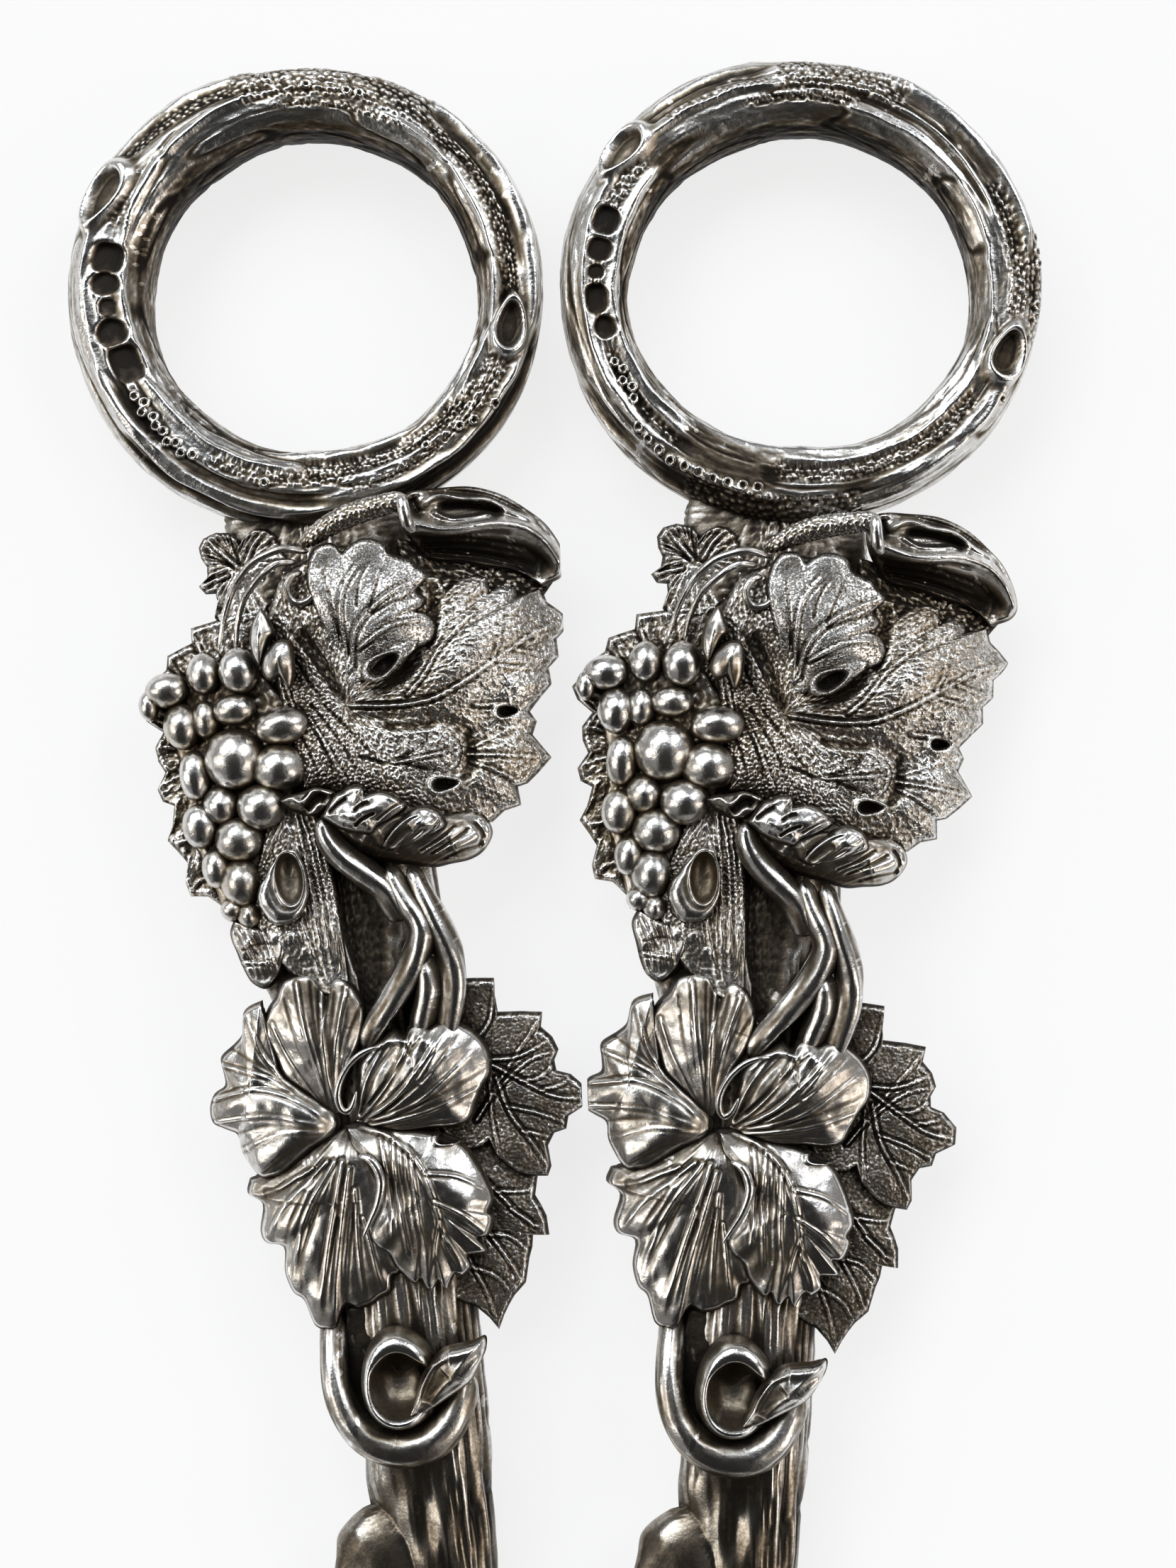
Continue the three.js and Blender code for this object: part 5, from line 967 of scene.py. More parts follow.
def grooved(lines, depth, twist, seed, dark):
    """Relief of a shoot with this many grooves along it, which wind by twist per millimetre."""
    def relief_at(travelled, turn, radius):
        wave = np.cos(lines * turn + twist * travelled + 0.6 * np.sin(travelled * 0.9))
        fine = noise(stacked(np.cos(turn) * 2.4, np.sin(turn) * 2.4, travelled / 2.2), 0.5, seed)
        tarnish_and_shade = dark * np.clip(-wave - 0.2, 0, 1) + np.clip(-fine * 0.4, 0, 1)
        return depth * (wave - 1) / 2 + 0.03 * fine, tarnish_and_shade
    return relief_at


TUBE_ROUNDINGS = 14


def tube_patch(path, radii, relief_at=None, steps=150, sides=36, flatten=1.0):
    """A closed round shoot along a smooth curve through points in pixels with a rise."""
    path = np.array(path, float)
    rise = path[:, 2]
    flat = vine_points(path[:, :2], lambda u: STEM_CREST + rise)
    line = curve_through(np.concatenate([flat, (STEM_CREST + rise)[:, None]], 1), steps)
    share = np.linspace(0, 1, steps)
    radius = np.interp(share, np.linspace(0, 1, len(radii)), radii)
    rounding = np.clip(1 - TUBE_ROUNDINGS * np.minimum(share, 1 - share), 0, 1)
    ahead = unit(np.gradient(line, axis=0))
    aside = unit(np.cross([0, 0, 1], ahead))
    turn = full_turn(sides)
    travelled = np.concatenate([[0], np.cumsum(np.linalg.norm(np.diff(line, axis=0), axis=1))])
    out, tarnish_and_shade = relief_at(travelled[:, None], turn[None, :], radius[:, None]) if relief_at else (0, 0)
    reach = (radius * np.sqrt(np.maximum(1 - rounding ** 2, 0.02)))[:, None] + out + 0 * turn
    grid = line[:, None, :] + aside[:, None, :] * (reach * np.cos(turn))[..., None]
    grid = grid + np.cross(ahead, aside)[:, None, :] * (reach * np.sin(turn) * flatten)[..., None]
    return closed_patch(grid, tarnish_and_shade)


STALKS = [read_points(path) for path in """
    436,778,.8 402,774,1.4 374,783,1.5 352,797,1.4 334,822,1.1 322,854,.8 315,885,.6 310,917,.4;
    420,792,.8 393,794,1.5 372,808,1.4 354,829,1.1 343,849,.9 336,881,.6 334,913,.4;
    426,806,1.2 412,812,1.6 404,828,1.8 408,843,1.8 420,851,1.7 436,846,1.7 444,832,1.7
    440,815,1.5 430,803,1.2""".split(";")]
STALK_RADII = (0.3, 0.32, 0.3, 0.26, 0.22)
TENDRILS = [read_points(path) for path in """
    455,1152,1.6 462,1182,1.5 482,1208,1.3 513,1231,1.1 540,1252,1 556,1279,.9 566,1300,.7;
    548,1222,1 561,1250,1.1 576,1275,1.2 590,1296,1.2 596,1318,1.2 587,1349,1.1 570,1383,1
    549,1417,.9 528,1450,.5 515,1480,0;
    578,1222,.8 596,1262,1.1 611,1292,1.1 625,1320,1 636,1352,.8 640,1390,.7 634,1440,.4
    624,1480,0; 592,1350,.9 602,1370,.9 604,1400,.8 596,1440,.5 588,1480,0""".split(";")]
STRAND_RADII = (0.7, 1.0, 1.1, 1.0, 0.7)
# The bract's main ridge and upper rim are painted bright as highlights, and its underside and the hollow
# under the ridge are painted dark as shade
BRACT = leaf("665,742", 8.0, 3.2, 3.0, """
    562,706 568,698 577,692 595,688 621,686 656,684 683,688 712,698 742,716 768,736 786,760 796,782
    799,800 792,813 777,821 764,826 752,816 724,804 683,799 647,791 612,790 592,779 578,762 568,745
    562,725""", veins="""
    600,770 660,772 740,786 .14 .08; 610,778 680,785 750,802 .14 .08; 605,764 665,763 735,774 .12 .08""",
    ridges="""
    560,738 575,738 594,744 625,750 655,748 685,742 715,741 745,748 768,764 784,786 793,806 1.3 .65
    -1.2; 566,702 567,722 572,744 .6 .35 -1;
    578,756 594,757 625,761 655,757 685,751 722,752 -.15 .14 1;
    594,714 618,699 653,704 689,705 718,722 753,734 .5 .25 -.5;
    612,723 636,733 665,731 690,726 .4 .2 -.4; 622,714 660,712 706,720 -.6 .22 .8;
    580,702 584,712 590,722 -.5 .3 .6; 598,692 655,693 700,703 745,726 776,758 -.35 .2 .7;
    590,772 640,777 700,785 760,802 -.8 .7 .8; 600,766 660,764 730,770 778,800 -.3 .35 .6""",
    shades="700,780 .9 5 .9 -12; 610,777 .7 1.6 .8 0; 660,722 .3 3 .5 0", wave=0.08, rim=0.12,
    turn_down=0.4, columns=420, rows=80, rounded=4, engraved=(0.02, (480, 760), 60))
BRACT_STALK = read_points("""
    424,770,.3 440,758,.8 460,744,1.2 482,732,1.4 508,722,1.6 535,714,1.9 560,708,2.2 574,712,2""")
BRACT_STALK_RADII = (0.4, 0.65, 0.8, 0.85, 0.85, 0.8, 0.75, 0.5)
BRACT_NODE = read_points("559,698,1.6 566,706,2.5 570,722,2.7 575,738,2.6 584,750,2")
BRACT_NODE_RADII = (0.25, 0.42, 0.45, 0.45, 0.3)
# The roll's lower band is painted dark as shade, and its cone and end cap are painted bright as highlights
CURL_BODY = [
    leaf("570,1168", 8.5, 3.0, 2.6, """
        446,1150 455,1138 480,1122 520,1116 560,1124 600,1136 640,1146 666,1144 681,1150 690,1162
        694,1176 688,1192 676,1206 658,1215 634,1220 612,1225 585,1223 555,1219 524,1213 496,1203
        474,1189 456,1171""", ridges="""
        640,1198 664,1186 676,1176 .5 .7 -.3; 606,1206 632,1190 660,1170 -.18 .12 .7;
        590,1202 618,1184 640,1166 -.18 .12 .7; 626,1212 650,1200 676,1192 -.12 .1 .6;
        675,1152 687,1164 689,1180 682,1196 .25 .14 -.4; 668,1160 680,1176 676,1194 -.25 .12 .9;
        456,1160 480,1188 520,1204 570,1213 620,1217 660,1208 -.1 .75 .65;
        470,1166 500,1184 530,1196 560,1202 .2 .3 .1; 620,1150 650,1158 664,1168 .1 .4 .3""",
        engraved=(0.03, (440, 1310), 60), wave=0.1, rim=0, turn_down=1.5, lip=0.4, columns=320, rows=60,
        rounded=4),
]
CURL_LOBES = [
    leaf("508,1144", 9.15, 3.0, 1.6, """
        452,1152 458,1142 464,1130 470,1121 480,1116 488,1110 500,1107 511,1109 513,1120 522,1119
        536,1116 550,1119 562,1126 574,1138 562,1150 548,1160 534,1168 526,1178 508,1177 490,1174
        472,1167""", ridges="""
        464,1147 474,1136 487,1126 -.28 .12 1; 500,1144 508,1136 520,1132 -.28 .12 1;
        500,1166 512,1155 528,1147 -.28 .12 1; 512,1112 506,1124 502,1132 -.2 .15 .5;
        478,1150 500,1158 520,1165 .2 .3 0; 530,1158 550,1142 566,1132 -.16 .1 .5""",
        swells="480,1146 .3 1.6 .6 -25; 535,1135 .35 1.4 .6 20", wave=0.1, rim=0.08, turn_down=0.4, lip=0.4,
        columns=280, rows=44, rounded=4, engraved=(0.014, (470, 1260), 24)),
    leaf("590,1162", 9.3, 3.0, 1.8, """
        536,1196 542,1184 550,1170 562,1156 576,1144 590,1137 604,1137 617,1143 626,1153 630,1165
        618,1174 602,1182 584,1190 560,1198 546,1201""", ridges="""
        538,1194 556,1172 574,1156 590,1148 .2 .14 -.2; 545,1197 562,1180 580,1168 -.3 .35 1;
        562,1194 580,1184 596,1170 -.1 .12 .6; 596,1180 612,1168 620,1156 -.1 .1 .4""",
        swells="604,1156 .4 1.3 .7 30", wave=0.08, rim=0.08, turn_down=0.4, lip=0.4, columns=240, rows=40,
        rounded=4, engraved=(0.014, (500, 1260), 24)),
    leaf("540,1178", 9.05, 3.0, 1.6,
        "520,1178 526,1168 540,1160 560,1150 572,1150 560,1168 546,1186 540,1197 530,1194", shade=0.9,
        wave=0.04, rim=0, turn_down=0.1, lip=0.2, columns=120, rows=24, rounded=4),
    leaf("432,1131", 8.7, 3.0, 1.8, """
        394,1130 404,1122 419,1119 431,1115 443,1111 457,1113 472,1118 468,1132 458,1144 447,1150
        430,1152 416,1147 402,1140""", ridges="""
        398,1130 412,1126 424,1132 432,1126 440,1116 452,1115 470,1120 .35 .18 -.5;
        430,1142 441,1130 452,1124 458,1128 -.6 .3 1; 404,1136 418,1142 430,1148 -.2 .2 .9""", wave=0.06,
        rim=0, turn_down=0.3, lip=0.4, columns=200, rows=34, rounded=4),
]
HOOK_PATH = read_points("""
    484,1800,-2.6 473,1850,-2.1 470,1905,-.6 475,1958,.2 492,2000,.5 518,2028,.6 550,2041,.5
    582,2042,.4 610,2031,.2 633,2006,-.1 648,1970,-.5 655,1930,-1.2""")
HOOK_RADII = (0.95, 0.98, 1.0, 1.05, 1.15, 1.3, 1.4, 1.45, 1.45, 1.4, 1.3, 1.1)
SPIKE = leaf("630,1948", 8.75, 1.2, 3.4, """
    572,2006 578,1992 585,1974 590,1955 598,1937 610,1920 626,1906 648,1900 666,1896 684,1890 685,1908
    677,1928 668,1948 652,1964 632,1978 608,1994 590,2004""", ridges="""
    577,1998 588,1978 596,1954 608,1932 626,1917 .45 .2 -.6; 630,1914 650,1910 684,1896 .4 .45 -.5;
    600,1980 612,1958 630,1940 -.35 .5 .9; 652,1946 664,1932 678,1918 .2 .3 -.2""",
    swells="690,1896 -.5 .8 .8 30", wave=0.04, turn_down=0.7, columns=240, rows=46, rim=0.0, rounded=4,
    lip=0.6)

# The knot's profile from its foot in to its hollow: share of the room between them, level and darkness, and
# then the hollow's: share of its half sizes, level and darkness
KNOT_OUTLINE = read_points("""
    417,1196 404,1202 390,1213 379,1225 374,1237 366,1250 362,1264 365,1278 371,1289 380,1300
    390,1306 404,1305 417,1300 426,1290 431,1278 435,1264 435,1250 432,1236 428,1223 423,1208""")
KNOT_HOLLOW = (409, 1240)
KNOT_HOLLOW_HALVES = (0.98, 1.85)
KNOT_LEVEL = 7.25
KNOT_STEPS = 160
KNOT_SIDES = 120
KNOT_RIM_LEAST = 0.22
KNOT_ROWS = read_numbers("""
    1 -1.8 .7; 1 -.7 .4; .97 -.1 .15; .85 .35 0; .6 .62 .05; .35 .6 .3; .16 .55 .2; .08 .72 -.3; 0 .68 0""")
KNOT_HOLLOW_ROWS = read_numbers(".9 .35 .35; .8 .1 .5; .6 -.1 .45; .35 -.2 .4; .05 -.22 .4")


def knot_patch():
    """A swelling, thick below and to the left, with a bright-rimmed oval hollow drawn out above."""
    def knot_level(u):
        return KNOT_LEVEL + 0 * u

    middle = vine_points([KNOT_HOLLOW], knot_level)[0]
    outline = curve_through(vine_points(KNOT_OUTLINE + KNOT_OUTLINE[:1], knot_level), KNOT_STEPS)
    turn = full_turn(KNOT_SIDES)
    reach = edge_reach(turn, middle, outline)
    hollow = 1 / np.hypot(np.cos(turn) / KNOT_HOLLOW_HALVES[0], np.sin(turn) / KNOT_HOLLOW_HALVES[1])
    room = np.maximum(reach, hollow + KNOT_RIM_LEAST) - hollow
    domed = 0.12 * (room - 0.5)
    rows = [(hollow + share * room, level + domed * (share > 0.3)) for share, level, _ in KNOT_ROWS]
    rows += [(hollow * share, level + 0 * turn) for share, level, _ in KNOT_HOLLOW_ROWS]
    grid = np.array([
        np.concatenate([middle + out[:, None] * heading(turn), (KNOT_LEVEL + level)[:, None]], 1)
        for out, level in rows
    ])
    grid[..., 2] += 0.08 * rough_noise(grid, 0.8, 77)
    shade = np.array([row[2] for row in KNOT_ROWS + KNOT_HOLLOW_ROWS])[:, None]
    return closed_patch(grid, shade + 0.2 * rough_noise(grid, 0.5, 78))


# The bud's profile up its outside, over its rim and down inside: share of its half sizes, height, darkness
BUD_MIDDLE = (563, 1952)
BUD_HALVES = (2.45, 3.1)
BUD_ROWS = read_numbers("""
    1.12 -.8 1; 1.15 0 1; 1.14 .7 .9; 1.1 1.3 .7; 1.03 1.9 .35; .96 2.3 0; .9 2.42 -.1; .85 2.32 0;
    .8 1.9 .4; .68 1.2 .5; .55 .6 .5; .35 .2 .45; .12 .1 .45; .02 .1 .45""")
BUD_RIM_ROWS = range(3, 10)
BUD_SHIFTED_FROM = 6
BUD_INSIDE_FROM = 8
BUD_SIDES = 110


def bud_patch():
    """An oval cup with a thin bright rim that is low at the right, where the spike leaves it."""
    middle = vine_points([BUD_MIDDLE], lambda u: STEM_CREST + 2 + 0 * u)[0]
    turn = full_turn(BUD_SIDES)
    outline = heading(turn) * BUD_HALVES * (1 + 0.03 * np.cos(3 * turn + 1))[:, None]
    share, height, dark = np.array(BUD_ROWS).T[..., None]
    number = np.arange(len(BUD_ROWS))[:, None]
    u, w = np.moveaxis(middle + outline * share[..., None], -1, 0)
    w = w - 0.6 * smoothstep(0.2, 0.95, np.sin(turn)) * share * (number >= BUD_SHIFTED_FROM)
    dip = 1.8 * bell(((turn + 0.25 + math.pi) % FULL_TURN - math.pi) / 0.62) + 0.2 * np.sin(turn)
    rim = (number >= BUD_RIM_ROWS.start) & (number < BUD_RIM_ROWS.stop)
    # Inside, the cup is painted darker toward one side as shade
    dark = dark + 0.6 * smoothstep(-0.2, 0.7, np.sin(turn)) * (number >= BUD_INSIDE_FROM)
    return closed_patch(stacked(u, w, STEM_CREST + height - dip * rim), dark)


# Shanks: they curve from the stem's foot to the necks of the blades, below the photograph's frame

SHANK_TOP_HALF = 0.47 * STEM_HALF_WIDTH
SHANK_FOOT_HALF = 2.9
SHANK_END = 8.8
SHANK_TUCK = 0.3
SHANK_PULLS = (7, 5)
SHANK_STEPS = 160
SHANK_SIDES = 64
NECK_TURN = math.radians(25)
COLLAR_SHARES = (0.1, 0.2, 0.82)
COLLAR_RISE = 0.5
COLLAR_WIDTH = 0.03
COLLAR_GROOVES = (-0.05, 0.05)
COLLAR_GROOVE_WIDTH = 0.016


def shank_patch(arm):
    """A smooth shank with three turned collars, in the vine frame."""
    side, lean = arm["side"], arm["side"] * ARM_LEAN
    upward = np.array([math.sin(lean), math.cos(lean)])
    sideways = np.array([math.cos(lean), -math.sin(lean)])
    neck = np.array([math.sin(side * NECK_TURN), math.cos(side * NECK_TURN)])
    top = sideways * (side * ARM_OFFSET - SHANK_TUCK) + upward * (STEM_FOOT - arm["vine_drop"] - SHANK_TUCK)
    foot = neck * SHANK_END
    share = np.linspace(0, 1, SHANK_STEPS)[:, None]
    weights = [(1 - share) ** 3, 3 * share * (1 - share) ** 2, 3 * share ** 2 * (1 - share), share ** 3]
    corners = (top, top - upward * SHANK_PULLS[0], foot + neck * SHANK_PULLS[1], foot)
    line = sum(weight * corner for weight, corner in zip(weights, corners))
    ahead = unit(np.gradient(line, axis=0))
    aside = np.stack([-ahead[:, 1], ahead[:, 0]], -1)
    collar = [(share - middle) / COLLAR_WIDTH for middle in COLLAR_SHARES]
    proud = sum(COLLAR_RISE * (bell(away) - bell(away / 2) / 2) for away in collar)
    half_width = SHANK_TOP_HALF + (SHANK_FOOT_HALF - SHANK_TOP_HALF) * share + proud
    turn = full_turn(SHANK_SIDES)[None, :]
    level = STEM_LEVEL + STEM_HALF_HEIGHT * np.minimum(1, 1 + proud / 4) * np.sin(turn)
    vine = row_to_vine(line[:, None, :] + aside[:, None, :] * (half_width * np.cos(turn))[..., None], arm)
    grooves = [middle + beside for middle in COLLAR_SHARES for beside in COLLAR_GROOVES]
    tarnish_and_shade = 0.6 * sum(bell((share - groove) / COLLAR_GROOVE_WIDTH) for groove in grooves)
    return closed_patch(np.concatenate([vine, level[..., None]], -1), tarnish_and_shade)


# Materials: a tree adds the shader nodes of a material or of the world

class Tree:
    def __init__(self, owner):
        owner.use_nodes = True
        self.owner, self.tree = owner, owner.node_tree
        self.tree.nodes.clear()

    def node(self, kind, inputs=(), **settings):
        """A node with its settings, and with each named input set to a number or linked from a socket."""
        new = self.tree.nodes.new("ShaderNode" + kind)
        for key, value in settings.items():
            setattr(new, key, value)
        for key, value in dict(inputs).items():
            if isinstance(value, bpy.types.NodeSocket):
                self.tree.links.new(value, new.inputs[key])
            else:
                new.inputs[key].default_value = value
        return new

    def maths(self, operation, *values, clamp=False):
        return self.node("Math", dict(enumerate(values)), operation=operation, use_clamp=clamp).outputs[0]

    def times(self, value, factor):
        return self.maths("MULTIPLY", value, factor)

    def added(self, total, value, factor, operation="ADD", middle=None):
        """The total with a factor times the value, or times its distance from a middle one."""
        if middle is not None:
            value = self.maths("SUBTRACT", value, middle)
        return self.maths(operation, total, self.times(value, factor))

    def remap(self, value, low, high, to_low, to_high):
        return self.node("MapRange", dict(enumerate((value, low, high, to_low, to_high)))).outputs[0]

    def cloud(self, place, scale, detail, roughness=0.5):
        inputs = {"Vector": place, "Scale": scale, "Detail": detail, "Roughness": roughness}
        return self.node("TexNoise", inputs).outputs[0]

    def open_air(self, distance):
        """How little is near: 1 in the open and 0 deep in a crevice."""
        return self.node("AmbientOcclusion", {"Distance": distance}, samples=6).outputs["AO"]

    def ramp(self, factor, stops):
        new = self.node("ValToRGB", {0: factor})
        elements = new.color_ramp.elements
        while len(elements) < len(stops):
            elements.new(0.5)
        for element, (place, colour) in zip(elements, stops):
            element.position = place
            element.color = (*colour, 1)
        return new.outputs[0]

    def bump(self, height, strength, distance):
        return self.node("Bump", {"Strength": strength, "Distance": distance, "Height": height}).outputs[0]

    def mixed(self, share, first, second):
        return self.node("MixShader", {0: share, 1: first.outputs[0], 2: second.outputs[0]})

    def finished(self, shader, kind="OutputMaterial"):
        self.node(kind, {"Surface": shader.outputs[0]})
        return self.owner


SILVER_TONES = [
    (0.0, (0.84, 0.84, 0.83)), (0.25, (0.57, 0.56, 0.545)), (0.45, (0.3, 0.28, 0.25)),
    (0.62, (0.135, 0.112, 0.085)), (0.8, (0.048, 0.04, 0.031)), (1.0, (0.014, 0.012, 0.01)),
]
STEEL_TONES = [(0.25, (0.56, 0.56, 0.555)), (0.5, (0.4, 0.4, 0.39)), (0.85, (0.13, 0.12, 0.105))]
GOLD_TINT = (1, 0.84, 0.58, 1)
CLOUD_SCALE = 200
FINE_SCALE = 2200
SCRATCH_SCALE = 5200
GOLD_SCALE = 140
BEAD_SCALE = 1 / (0.21 * MM)
PIT_SCALE = 1 / (0.16 * MM)
STEEL_CLOUD_SCALE = 180
BRUSH_SCALES = (9000, 110, 2500)
SILVER_CREVICE = 1.3 * MM
STEEL_CREVICE = 1.5 * MM
SILVER_BUMP = 0.12 * MM
STEEL_BUMP = 0.04 * MM
POLISH_FADE = 6 * MM


def silver(name, tone, roughness, grain, crevice, worn, warmth, beads=0.0, pits=0.0, polished_below=None):
    """Old silver: bright where it is rubbed, golden brown to black tarnish in the recesses, and painted
    shade and highlights from the mesh's darkness and from occlusion near other parts and the floor.
    """
    tree = Tree(bpy.data.materials.new(name))
    place = tree.node("TexCoord").outputs["Object"]
    dark = tree.node("Attribute", attribute_name="tarnish_and_shade").outputs["Fac"]
    shade = tree.open_air(SILVER_CREVICE)
    cloud = tree.cloud(place, CLOUD_SCALE, 5, 0.6)
    fine = tree.cloud(place, FINE_SCALE, 4, 0.65)
    crest = tree.remap(tree.node("NewGeometry").outputs["Pointiness"], 0.5, 0.56, 0, 1)
    # Occlusion darkens recesses as tarnish and also paints shade between parts and near the floor; the
    # mesh's darkness adds tarnish with painted shade and highlights
    crevices = tree.remap(shade, 0.35, 0.95, crevice, 0)
    patina_and_shade = tree.added(tree.times(dark, 0.62), crevices, 0.5)
    patina_and_shade = tree.added(patina_and_shade, cloud, 0.55, middle=0.5)
    patina_and_shade = tree.added(patina_and_shade, fine, 0.4, middle=0.5)
    patina_and_shade = tree.added(patina_and_shade, crest, worn, "SUBTRACT")
    scratches = tree.cloud(place, SCRATCH_SCALE, 2)
    height = tree.added(tree.times(fine, grain), scratches, 0.35 * grain)
    if beads:
        cell = tree.node("TexVoronoi", {"Vector": place, "Scale": BEAD_SCALE}).outputs["Distance"]
        patina_and_shade = tree.added(patina_and_shade, cell, 0.7 * beads, middle=0.42)
        height = tree.added(height, cell, beads, "SUBTRACT")
    if pits:
        pit = tree.remap(tree.cloud(place, PIT_SCALE, 1), 0.5, 0.6, 0, 1)
        patina_and_shade = tree.added(patina_and_shade, pit, 0.45 * pits)
        height = tree.added(height, pit, pits, "SUBTRACT")
    patina_and_shade = tree.maths("ADD", patina_and_shade, tone, clamp=True)
    colour = tree.ramp(patina_and_shade, SILVER_TONES)
    patches = tree.remap(tree.cloud(place, GOLD_SCALE, 3), 0.35, 0.62, 0.15, 1)
    gold = tree.times(patches, tree.remap(patina_and_shade, 0.12, 0.5, 0.1 * warmth, warmth))
    tint = tree.node("Mix", {0: gold, 6: colour, 7: GOLD_TINT}, data_type="RGBA", blend_type="MULTIPLY")
    strength, rough = 0.6, tree.remap(patina_and_shade, 0.05, 0.8, roughness, 0.5)
    if polished_below:
        along = tree.node("SeparateXYZ", {0: place}).outputs["Y"]
        foot = tree.remap(along, polished_below, polished_below + POLISH_FADE, 1, 0)
        rough = tree.times(rough, tree.remap(foot, 0, 1, 1, 0.6))
        strength = tree.remap(foot, 0, 1, 0.6, 0.2)
    return tree.finished(tree.node("BsdfPrincipled", {
        "Base Color": tint.outputs[2], "Roughness": rough,
        "Metallic": tree.remap(patina_and_shade, 0.55, 0.95, 1, 0.45),
        "Specular IOR Level": tree.remap(patina_and_shade, 0.5, 0.95, 0.5, 0.1),
        "Normal": tree.bump(height, strength, SILVER_BUMP),
    }))


def brushed_steel(name):
    """Blade steel ground along its length, with a few darker specks and painted shade where occlusion finds
    crevices.
    """
    tree = Tree(bpy.data.materials.new(name))
    place = tree.node("TexCoord").outputs["Object"]
    along = tree.node("Mapping", {"Vector": place, "Scale": BRUSH_SCALES}).outputs[0]
    lines = tree.cloud(along, 1, 4)
    cloud = tree.cloud(place, STEEL_CLOUD_SCALE, 5)
    shade = tree.open_air(STEEL_CREVICE)
    # Darker specks at random, with painted shade where occlusion finds crevices and the floor
    worn = tree.added(tree.times(cloud, 0.7), tree.maths("SUBTRACT", 1, shade), 0.6)
    return tree.finished(tree.node("BsdfPrincipled", {
        "Base Color": tree.ramp(worn, STEEL_TONES), "Metallic": 1,
        "Roughness": tree.remap(lines, 0.3, 0.7, 0.26, 0.36), "Normal": tree.bump(lines, 0.2, STEEL_BUMP),
    }))


# Tone, roughness, grain, crevices, wear and warmth, and beads where there are any
RING_SILVER = silver("ring_silver_aged", 0.19, 0.2, 0.5, 1.0, 0.35, 0.45)
STEM_SILVER = silver("stem_silver_aged", 0.25, 0.2, 0.4, 1.0, 0.35, 0.2, 0.15, polished_below=36 * MM)
MATTE_SILVER = silver("matte_silver_aged", 0.17, 0.22, 0.4, 1.0, 0.35, 0.55, 0.5)
BACK_SILVER = silver("back_leaf_silver", 0.29, 0.22, 0.6, 1.1, 0.45, 0.2, 0.45)
PITTED_SILVER = silver("pitted_silver_aged", 0.16, 0.2, 0.5, 1.1, 0.3, 0.2, pits=0.8)
POLISHED_SILVER = silver("polished_silver_aged", 0.24, 0.15, 0.3, 1.1, 0.3, 0.3)
DARK_POLISH = silver("dark_polished_silver", 0.26, 0.15, 0.3, 1.1, 0.4, 0.5)
GOLDEN_SILVER = silver("toned_silver", 0.2, 0.18, 0.4, 1.0, 0.25, 0.6)
GRAPE_SILVER = silver("grape_silver_aged", 0.17, 0.2, 0.4, 0.75, 0.15, 0.7)
STEEL = brushed_steel("ground_steel")


# Pieces of each arm

def leaves(tables, seed):
    """A patch for each leaf, with seeds numbered from this one."""
    return [leaf_patch(table, seed + k) for k, table in enumerate(tables)]


stem = [stem_patch()] + leaves(STEM_GROUNDS, 70)
fold = leaves([UPPER_FOLD, UPPER_LOBE, FOLD_HOLE], 36)
grapes = [grape_patch(*grape, k) for k, grape in enumerate(GRAPES)]
grapes += leaves(SEPALS, 80) + leaves([BUNCH_BED], 90)
front = leaves(FRONT_LOBES, 40)
front += [tube_patch(EYE_LOOP, EYE_LOOP_RADII), tube_patch(CRESCENT, CRESCENT_RADII)]
stalks = [tube_patch(path, STALK_RADII, grooved(1, 0.12, 0.4, k, 0.3)) for k, path in enumerate(STALKS)]
strands = [
    tube_patch(path, STRAND_RADII, grooved(3, 0.14, 0.35, 20 + k, 0.7), steps=220, sides=32)
    for k, path in enumerate(TENDRILS)
]
bract = leaves([BRACT], 51) + [
    tube_patch(BRACT_STALK, BRACT_STALK_RADII, beaded(0.11, 62, 0.3), flatten=0.8, sides=60),
    tube_patch(BRACT_NODE, BRACT_NODE_RADII),
]
hook = tube_patch(HOOK_PATH, HOOK_RADII, grooved(3, 0.06, 0.1, 8, 0.6), flatten=0.9, steps=220, sides=60)

# Name, patches, material, slot and the node that each replaces
CASTINGS = [
    ("leaf_small", leaves([SMALL_LEAF], 31), MATTE_SILVER, "matte_silver", "small_leaf"),
    ("leaf_grape", leaves([GRAPE_LEAF], 32), MATTE_SILVER, "matte_silver", "grape_leaf"),
    ("leaf_back", leaves(BACK_LOBES, 33), BACK_SILVER, "matte_silver", "back_leaf"),
    ("leaf_upper", leaves([UPPER_LEAF, UPPER_PAINTED_SHADOW], 34), MATTE_SILVER, "matte_silver", "upper_leaf"),
    ("leaf_fold", fold, PITTED_SILVER, "polished_silver", "upper_leaf"),
    ("leaf_front", front, POLISHED_SILVER, "polished_silver", "front_leaf"),
    ("grapes", grapes, GRAPE_SILVER, "grape_silver", "grape_bunch"),
    ("stalks", stalks, POLISHED_SILVER, "polished_silver", "grape_stalk"),
    ("tendrils", strands, POLISHED_SILVER, "polished_silver", "tendril"),
    ("bract", bract, DARK_POLISH, "polished_silver", "top_bract"),
    ("curl_face", leaves(CURL_LOBES, 53), POLISHED_SILVER, "polished_silver", "curled_leaf"),
    ("curl_roll", leaves(CURL_BODY, 58), DARK_POLISH, "polished_silver", "curled_leaf"),
    ("knot_ring", [knot_patch()], GOLDEN_SILVER, "polished_silver", "knot"),
    ("bud_cup", [bud_patch()] + leaves([SPIKE], 5), GOLDEN_SILVER, "polished_silver", "bud"),
    ("hook_shoot", [hook], DARK_POLISH, "polished_silver", "hook"),
]
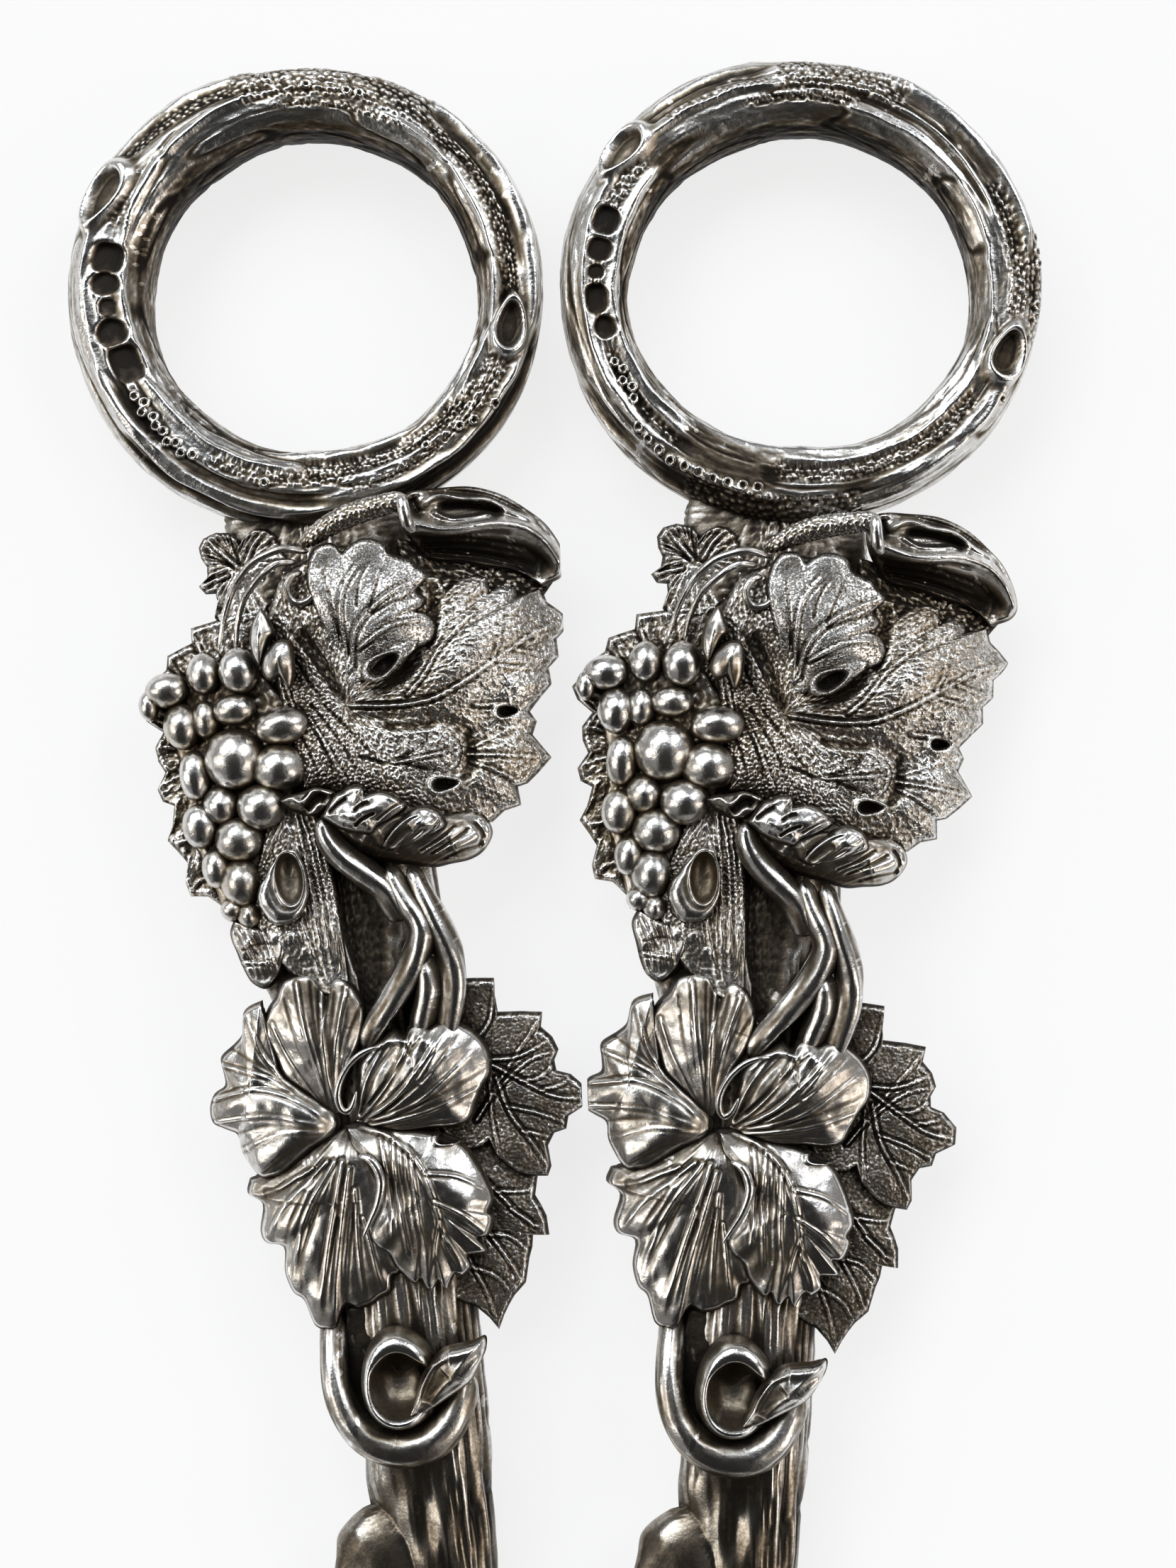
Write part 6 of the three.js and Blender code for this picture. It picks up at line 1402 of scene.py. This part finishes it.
for arm in ARMS:
    side = arm["name"]
    add_piece(f"{side}_ring_cast", arm, [ring_patch(arm)], RING_SILVER, f"{side}_finger_ring")
    add_piece(f"{side}_stem_bark", arm, stem, STEM_SILVER, f"{side}_vine_stem")
    for name, patches, material, slot, replaced in CASTINGS:
        add_piece(f"{side}_{name}", arm, patches, material, f"{side}_{replaced}")
    shank = [shank_patch(arm)]
    add_piece(f"{side}_shank_turned", arm, shank, POLISHED_SILVER, f"{side}_shank")

BEVEL_WIDTH = 0.12 * MM
BEVEL_STEPS = 2
for name in ("cutter_blade", "holder_blade", "pivot_screw"):
    blade = bpy.data.objects[name]
    for entry in blade.material_slots:
        entry.material = STEEL
    bevel = blade.modifiers.new("ground_edges", "BEVEL")
    bevel.width = BEVEL_WIDTH
    bevel.segments = BEVEL_STEPS
    bevel.limit_method = "ANGLE"


# Stage: a pale floor that keeps the shadow, soft light from panels in the world, and the photograph's view

FLOOR_DROP = 0.3 * MM
FLOOR_HALF = 6
FLOOR_GLOW = 0.8
CAMERA_LENS = 58.6
SENSOR_HEIGHT = 36
WHITE = (1, 1, 1, 1)

floor_mesh = bpy.data.meshes.new("pale_floor")
floor_corners = [(FLOOR_HALF * x, FLOOR_HALF * y, 0) for x, y in ((-1, -1), (1, -1), (1, 1), (-1, 1))]
floor_mesh.from_pydata(floor_corners, [], [(0, 1, 2, 3)])
floor = bpy.data.objects.new("pale_floor", floor_mesh)
floor.location.z = -FLOOR_DROP
bpy.context.scene.collection.objects.link(floor)
paper = Tree(bpy.data.materials.new("pale_paper"))
ray = paper.node("LightPath").outputs
reflected = paper.maths("MAXIMUM", ray["Is Glossy Ray"], ray["Is Transmission Ray"])
seen = paper.maths("MAXIMUM", ray["Is Camera Ray"], reflected)
white = paper.node("Emission", {"Color": WHITE, "Strength": 1})
matte = paper.node("BsdfDiffuse", {"Color": (0.9, 0.9, 0.9, 1)})
floor_mesh.materials.append(paper.finished(paper.mixed(paper.times(seen, FLOOR_GLOW), matte, white)))

# Panels: the middle of each as a direction, its half widths to the side and upward, softness and brightness
PANELS = [
    ((-0.35, 0.62, 0.7), (0.42, 0.26), 0.1, (4.5, 4.75, 5.0)),
    ((0.6, 0.5, 0.62), (0.2, 0.3), 0.1, (3.3, 3.4, 3.6)),
    ((-0.8, -0.1, 0.55), (0.2, 0.3), 0.1, (2.7, 2.55, 2.35)),
    ((0.8, -0.3, 0.5), (0.22, 0.22), 0.1, (2.5, 2.2, 1.9)),
]
ROOM_LIGHT = (0.24, 0.235, 0.23)
# The dark part of the room over the object, where little shines
SHADE = ((0.0, -0.5, 0.86), (0.46, 0.78), 0.12)
SHADE_DEPTH = 0.92


def panel_light(tree, ray_heading, middle, halves, softness):
    """How much a direction falls on a soft rectangular panel."""
    def along(axis):
        inputs = {0: ray_heading, 1: tuple(axis)}
        return tree.node("VectorMath", inputs, operation="DOT_PRODUCT").outputs["Value"]

    middle = unit(np.array(middle))
    aside = unit(np.cross((0, 0, 1), middle))
    parts = []
    for axis, half in ((aside, halves[0]), (np.cross(middle, aside), halves[1])):
        offset = tree.maths("ABSOLUTE", along(axis))
        parts.append(tree.remap(offset, half + softness / 2, half - softness / 2, 0, 1))
    return tree.times(tree.times(*parts), tree.maths("GREATER_THAN", along(middle), 0))


world = bpy.data.worlds.new("soft_studio")
sky = Tree(world)
sky_heading = sky.node("TexCoord").outputs["Generated"]
total = ROOM_LIGHT
for middle, halves, softness, colour in PANELS:
    share = panel_light(sky, sky_heading, middle, halves, softness)
    part = sky.node("VectorMath", {0: colour, "Scale": share}, operation="SCALE").outputs[0]
    total = sky.node("VectorMath", {0: total, 1: part}, operation="ADD").outputs[0]
shaded = sky.maths("SUBTRACT", 1, sky.times(panel_light(sky, sky_heading, *SHADE), SHADE_DEPTH))
light = sky.node("Background", {"Color": total, "Strength": shaded})
plain = sky.node("Background", {"Color": WHITE, "Strength": 1})
straight = sky.node("LightPath").outputs["Is Camera Ray"]
sky.finished(sky.mixed(straight, light, plain), "OutputWorld")
bpy.context.scene.world = world
bpy.context.scene.view_settings.view_transform = "Standard"

camera_data = bpy.data.cameras.new("photo_camera")
camera_data.sensor_fit = "VERTICAL"
camera_data.sensor_height = SENSOR_HEIGHT
camera_data.lens = CAMERA_LENS
camera = bpy.data.objects.new("photo_camera", camera_data)
eye = photo_to_row([PHOTO_MIDDLE], np.array([float(FOCUS_LEVEL)]))[0]
camera.location = (eye[0] * MM, eye[1] * MM, (CAMERA_RISE + FOCUS_LEVEL) * MM)
camera.rotation_euler = (0, 0, -math.atan(PHOTO_TILT))
bpy.context.scene.collection.objects.link(camera)
bpy.context.scene.camera = camera
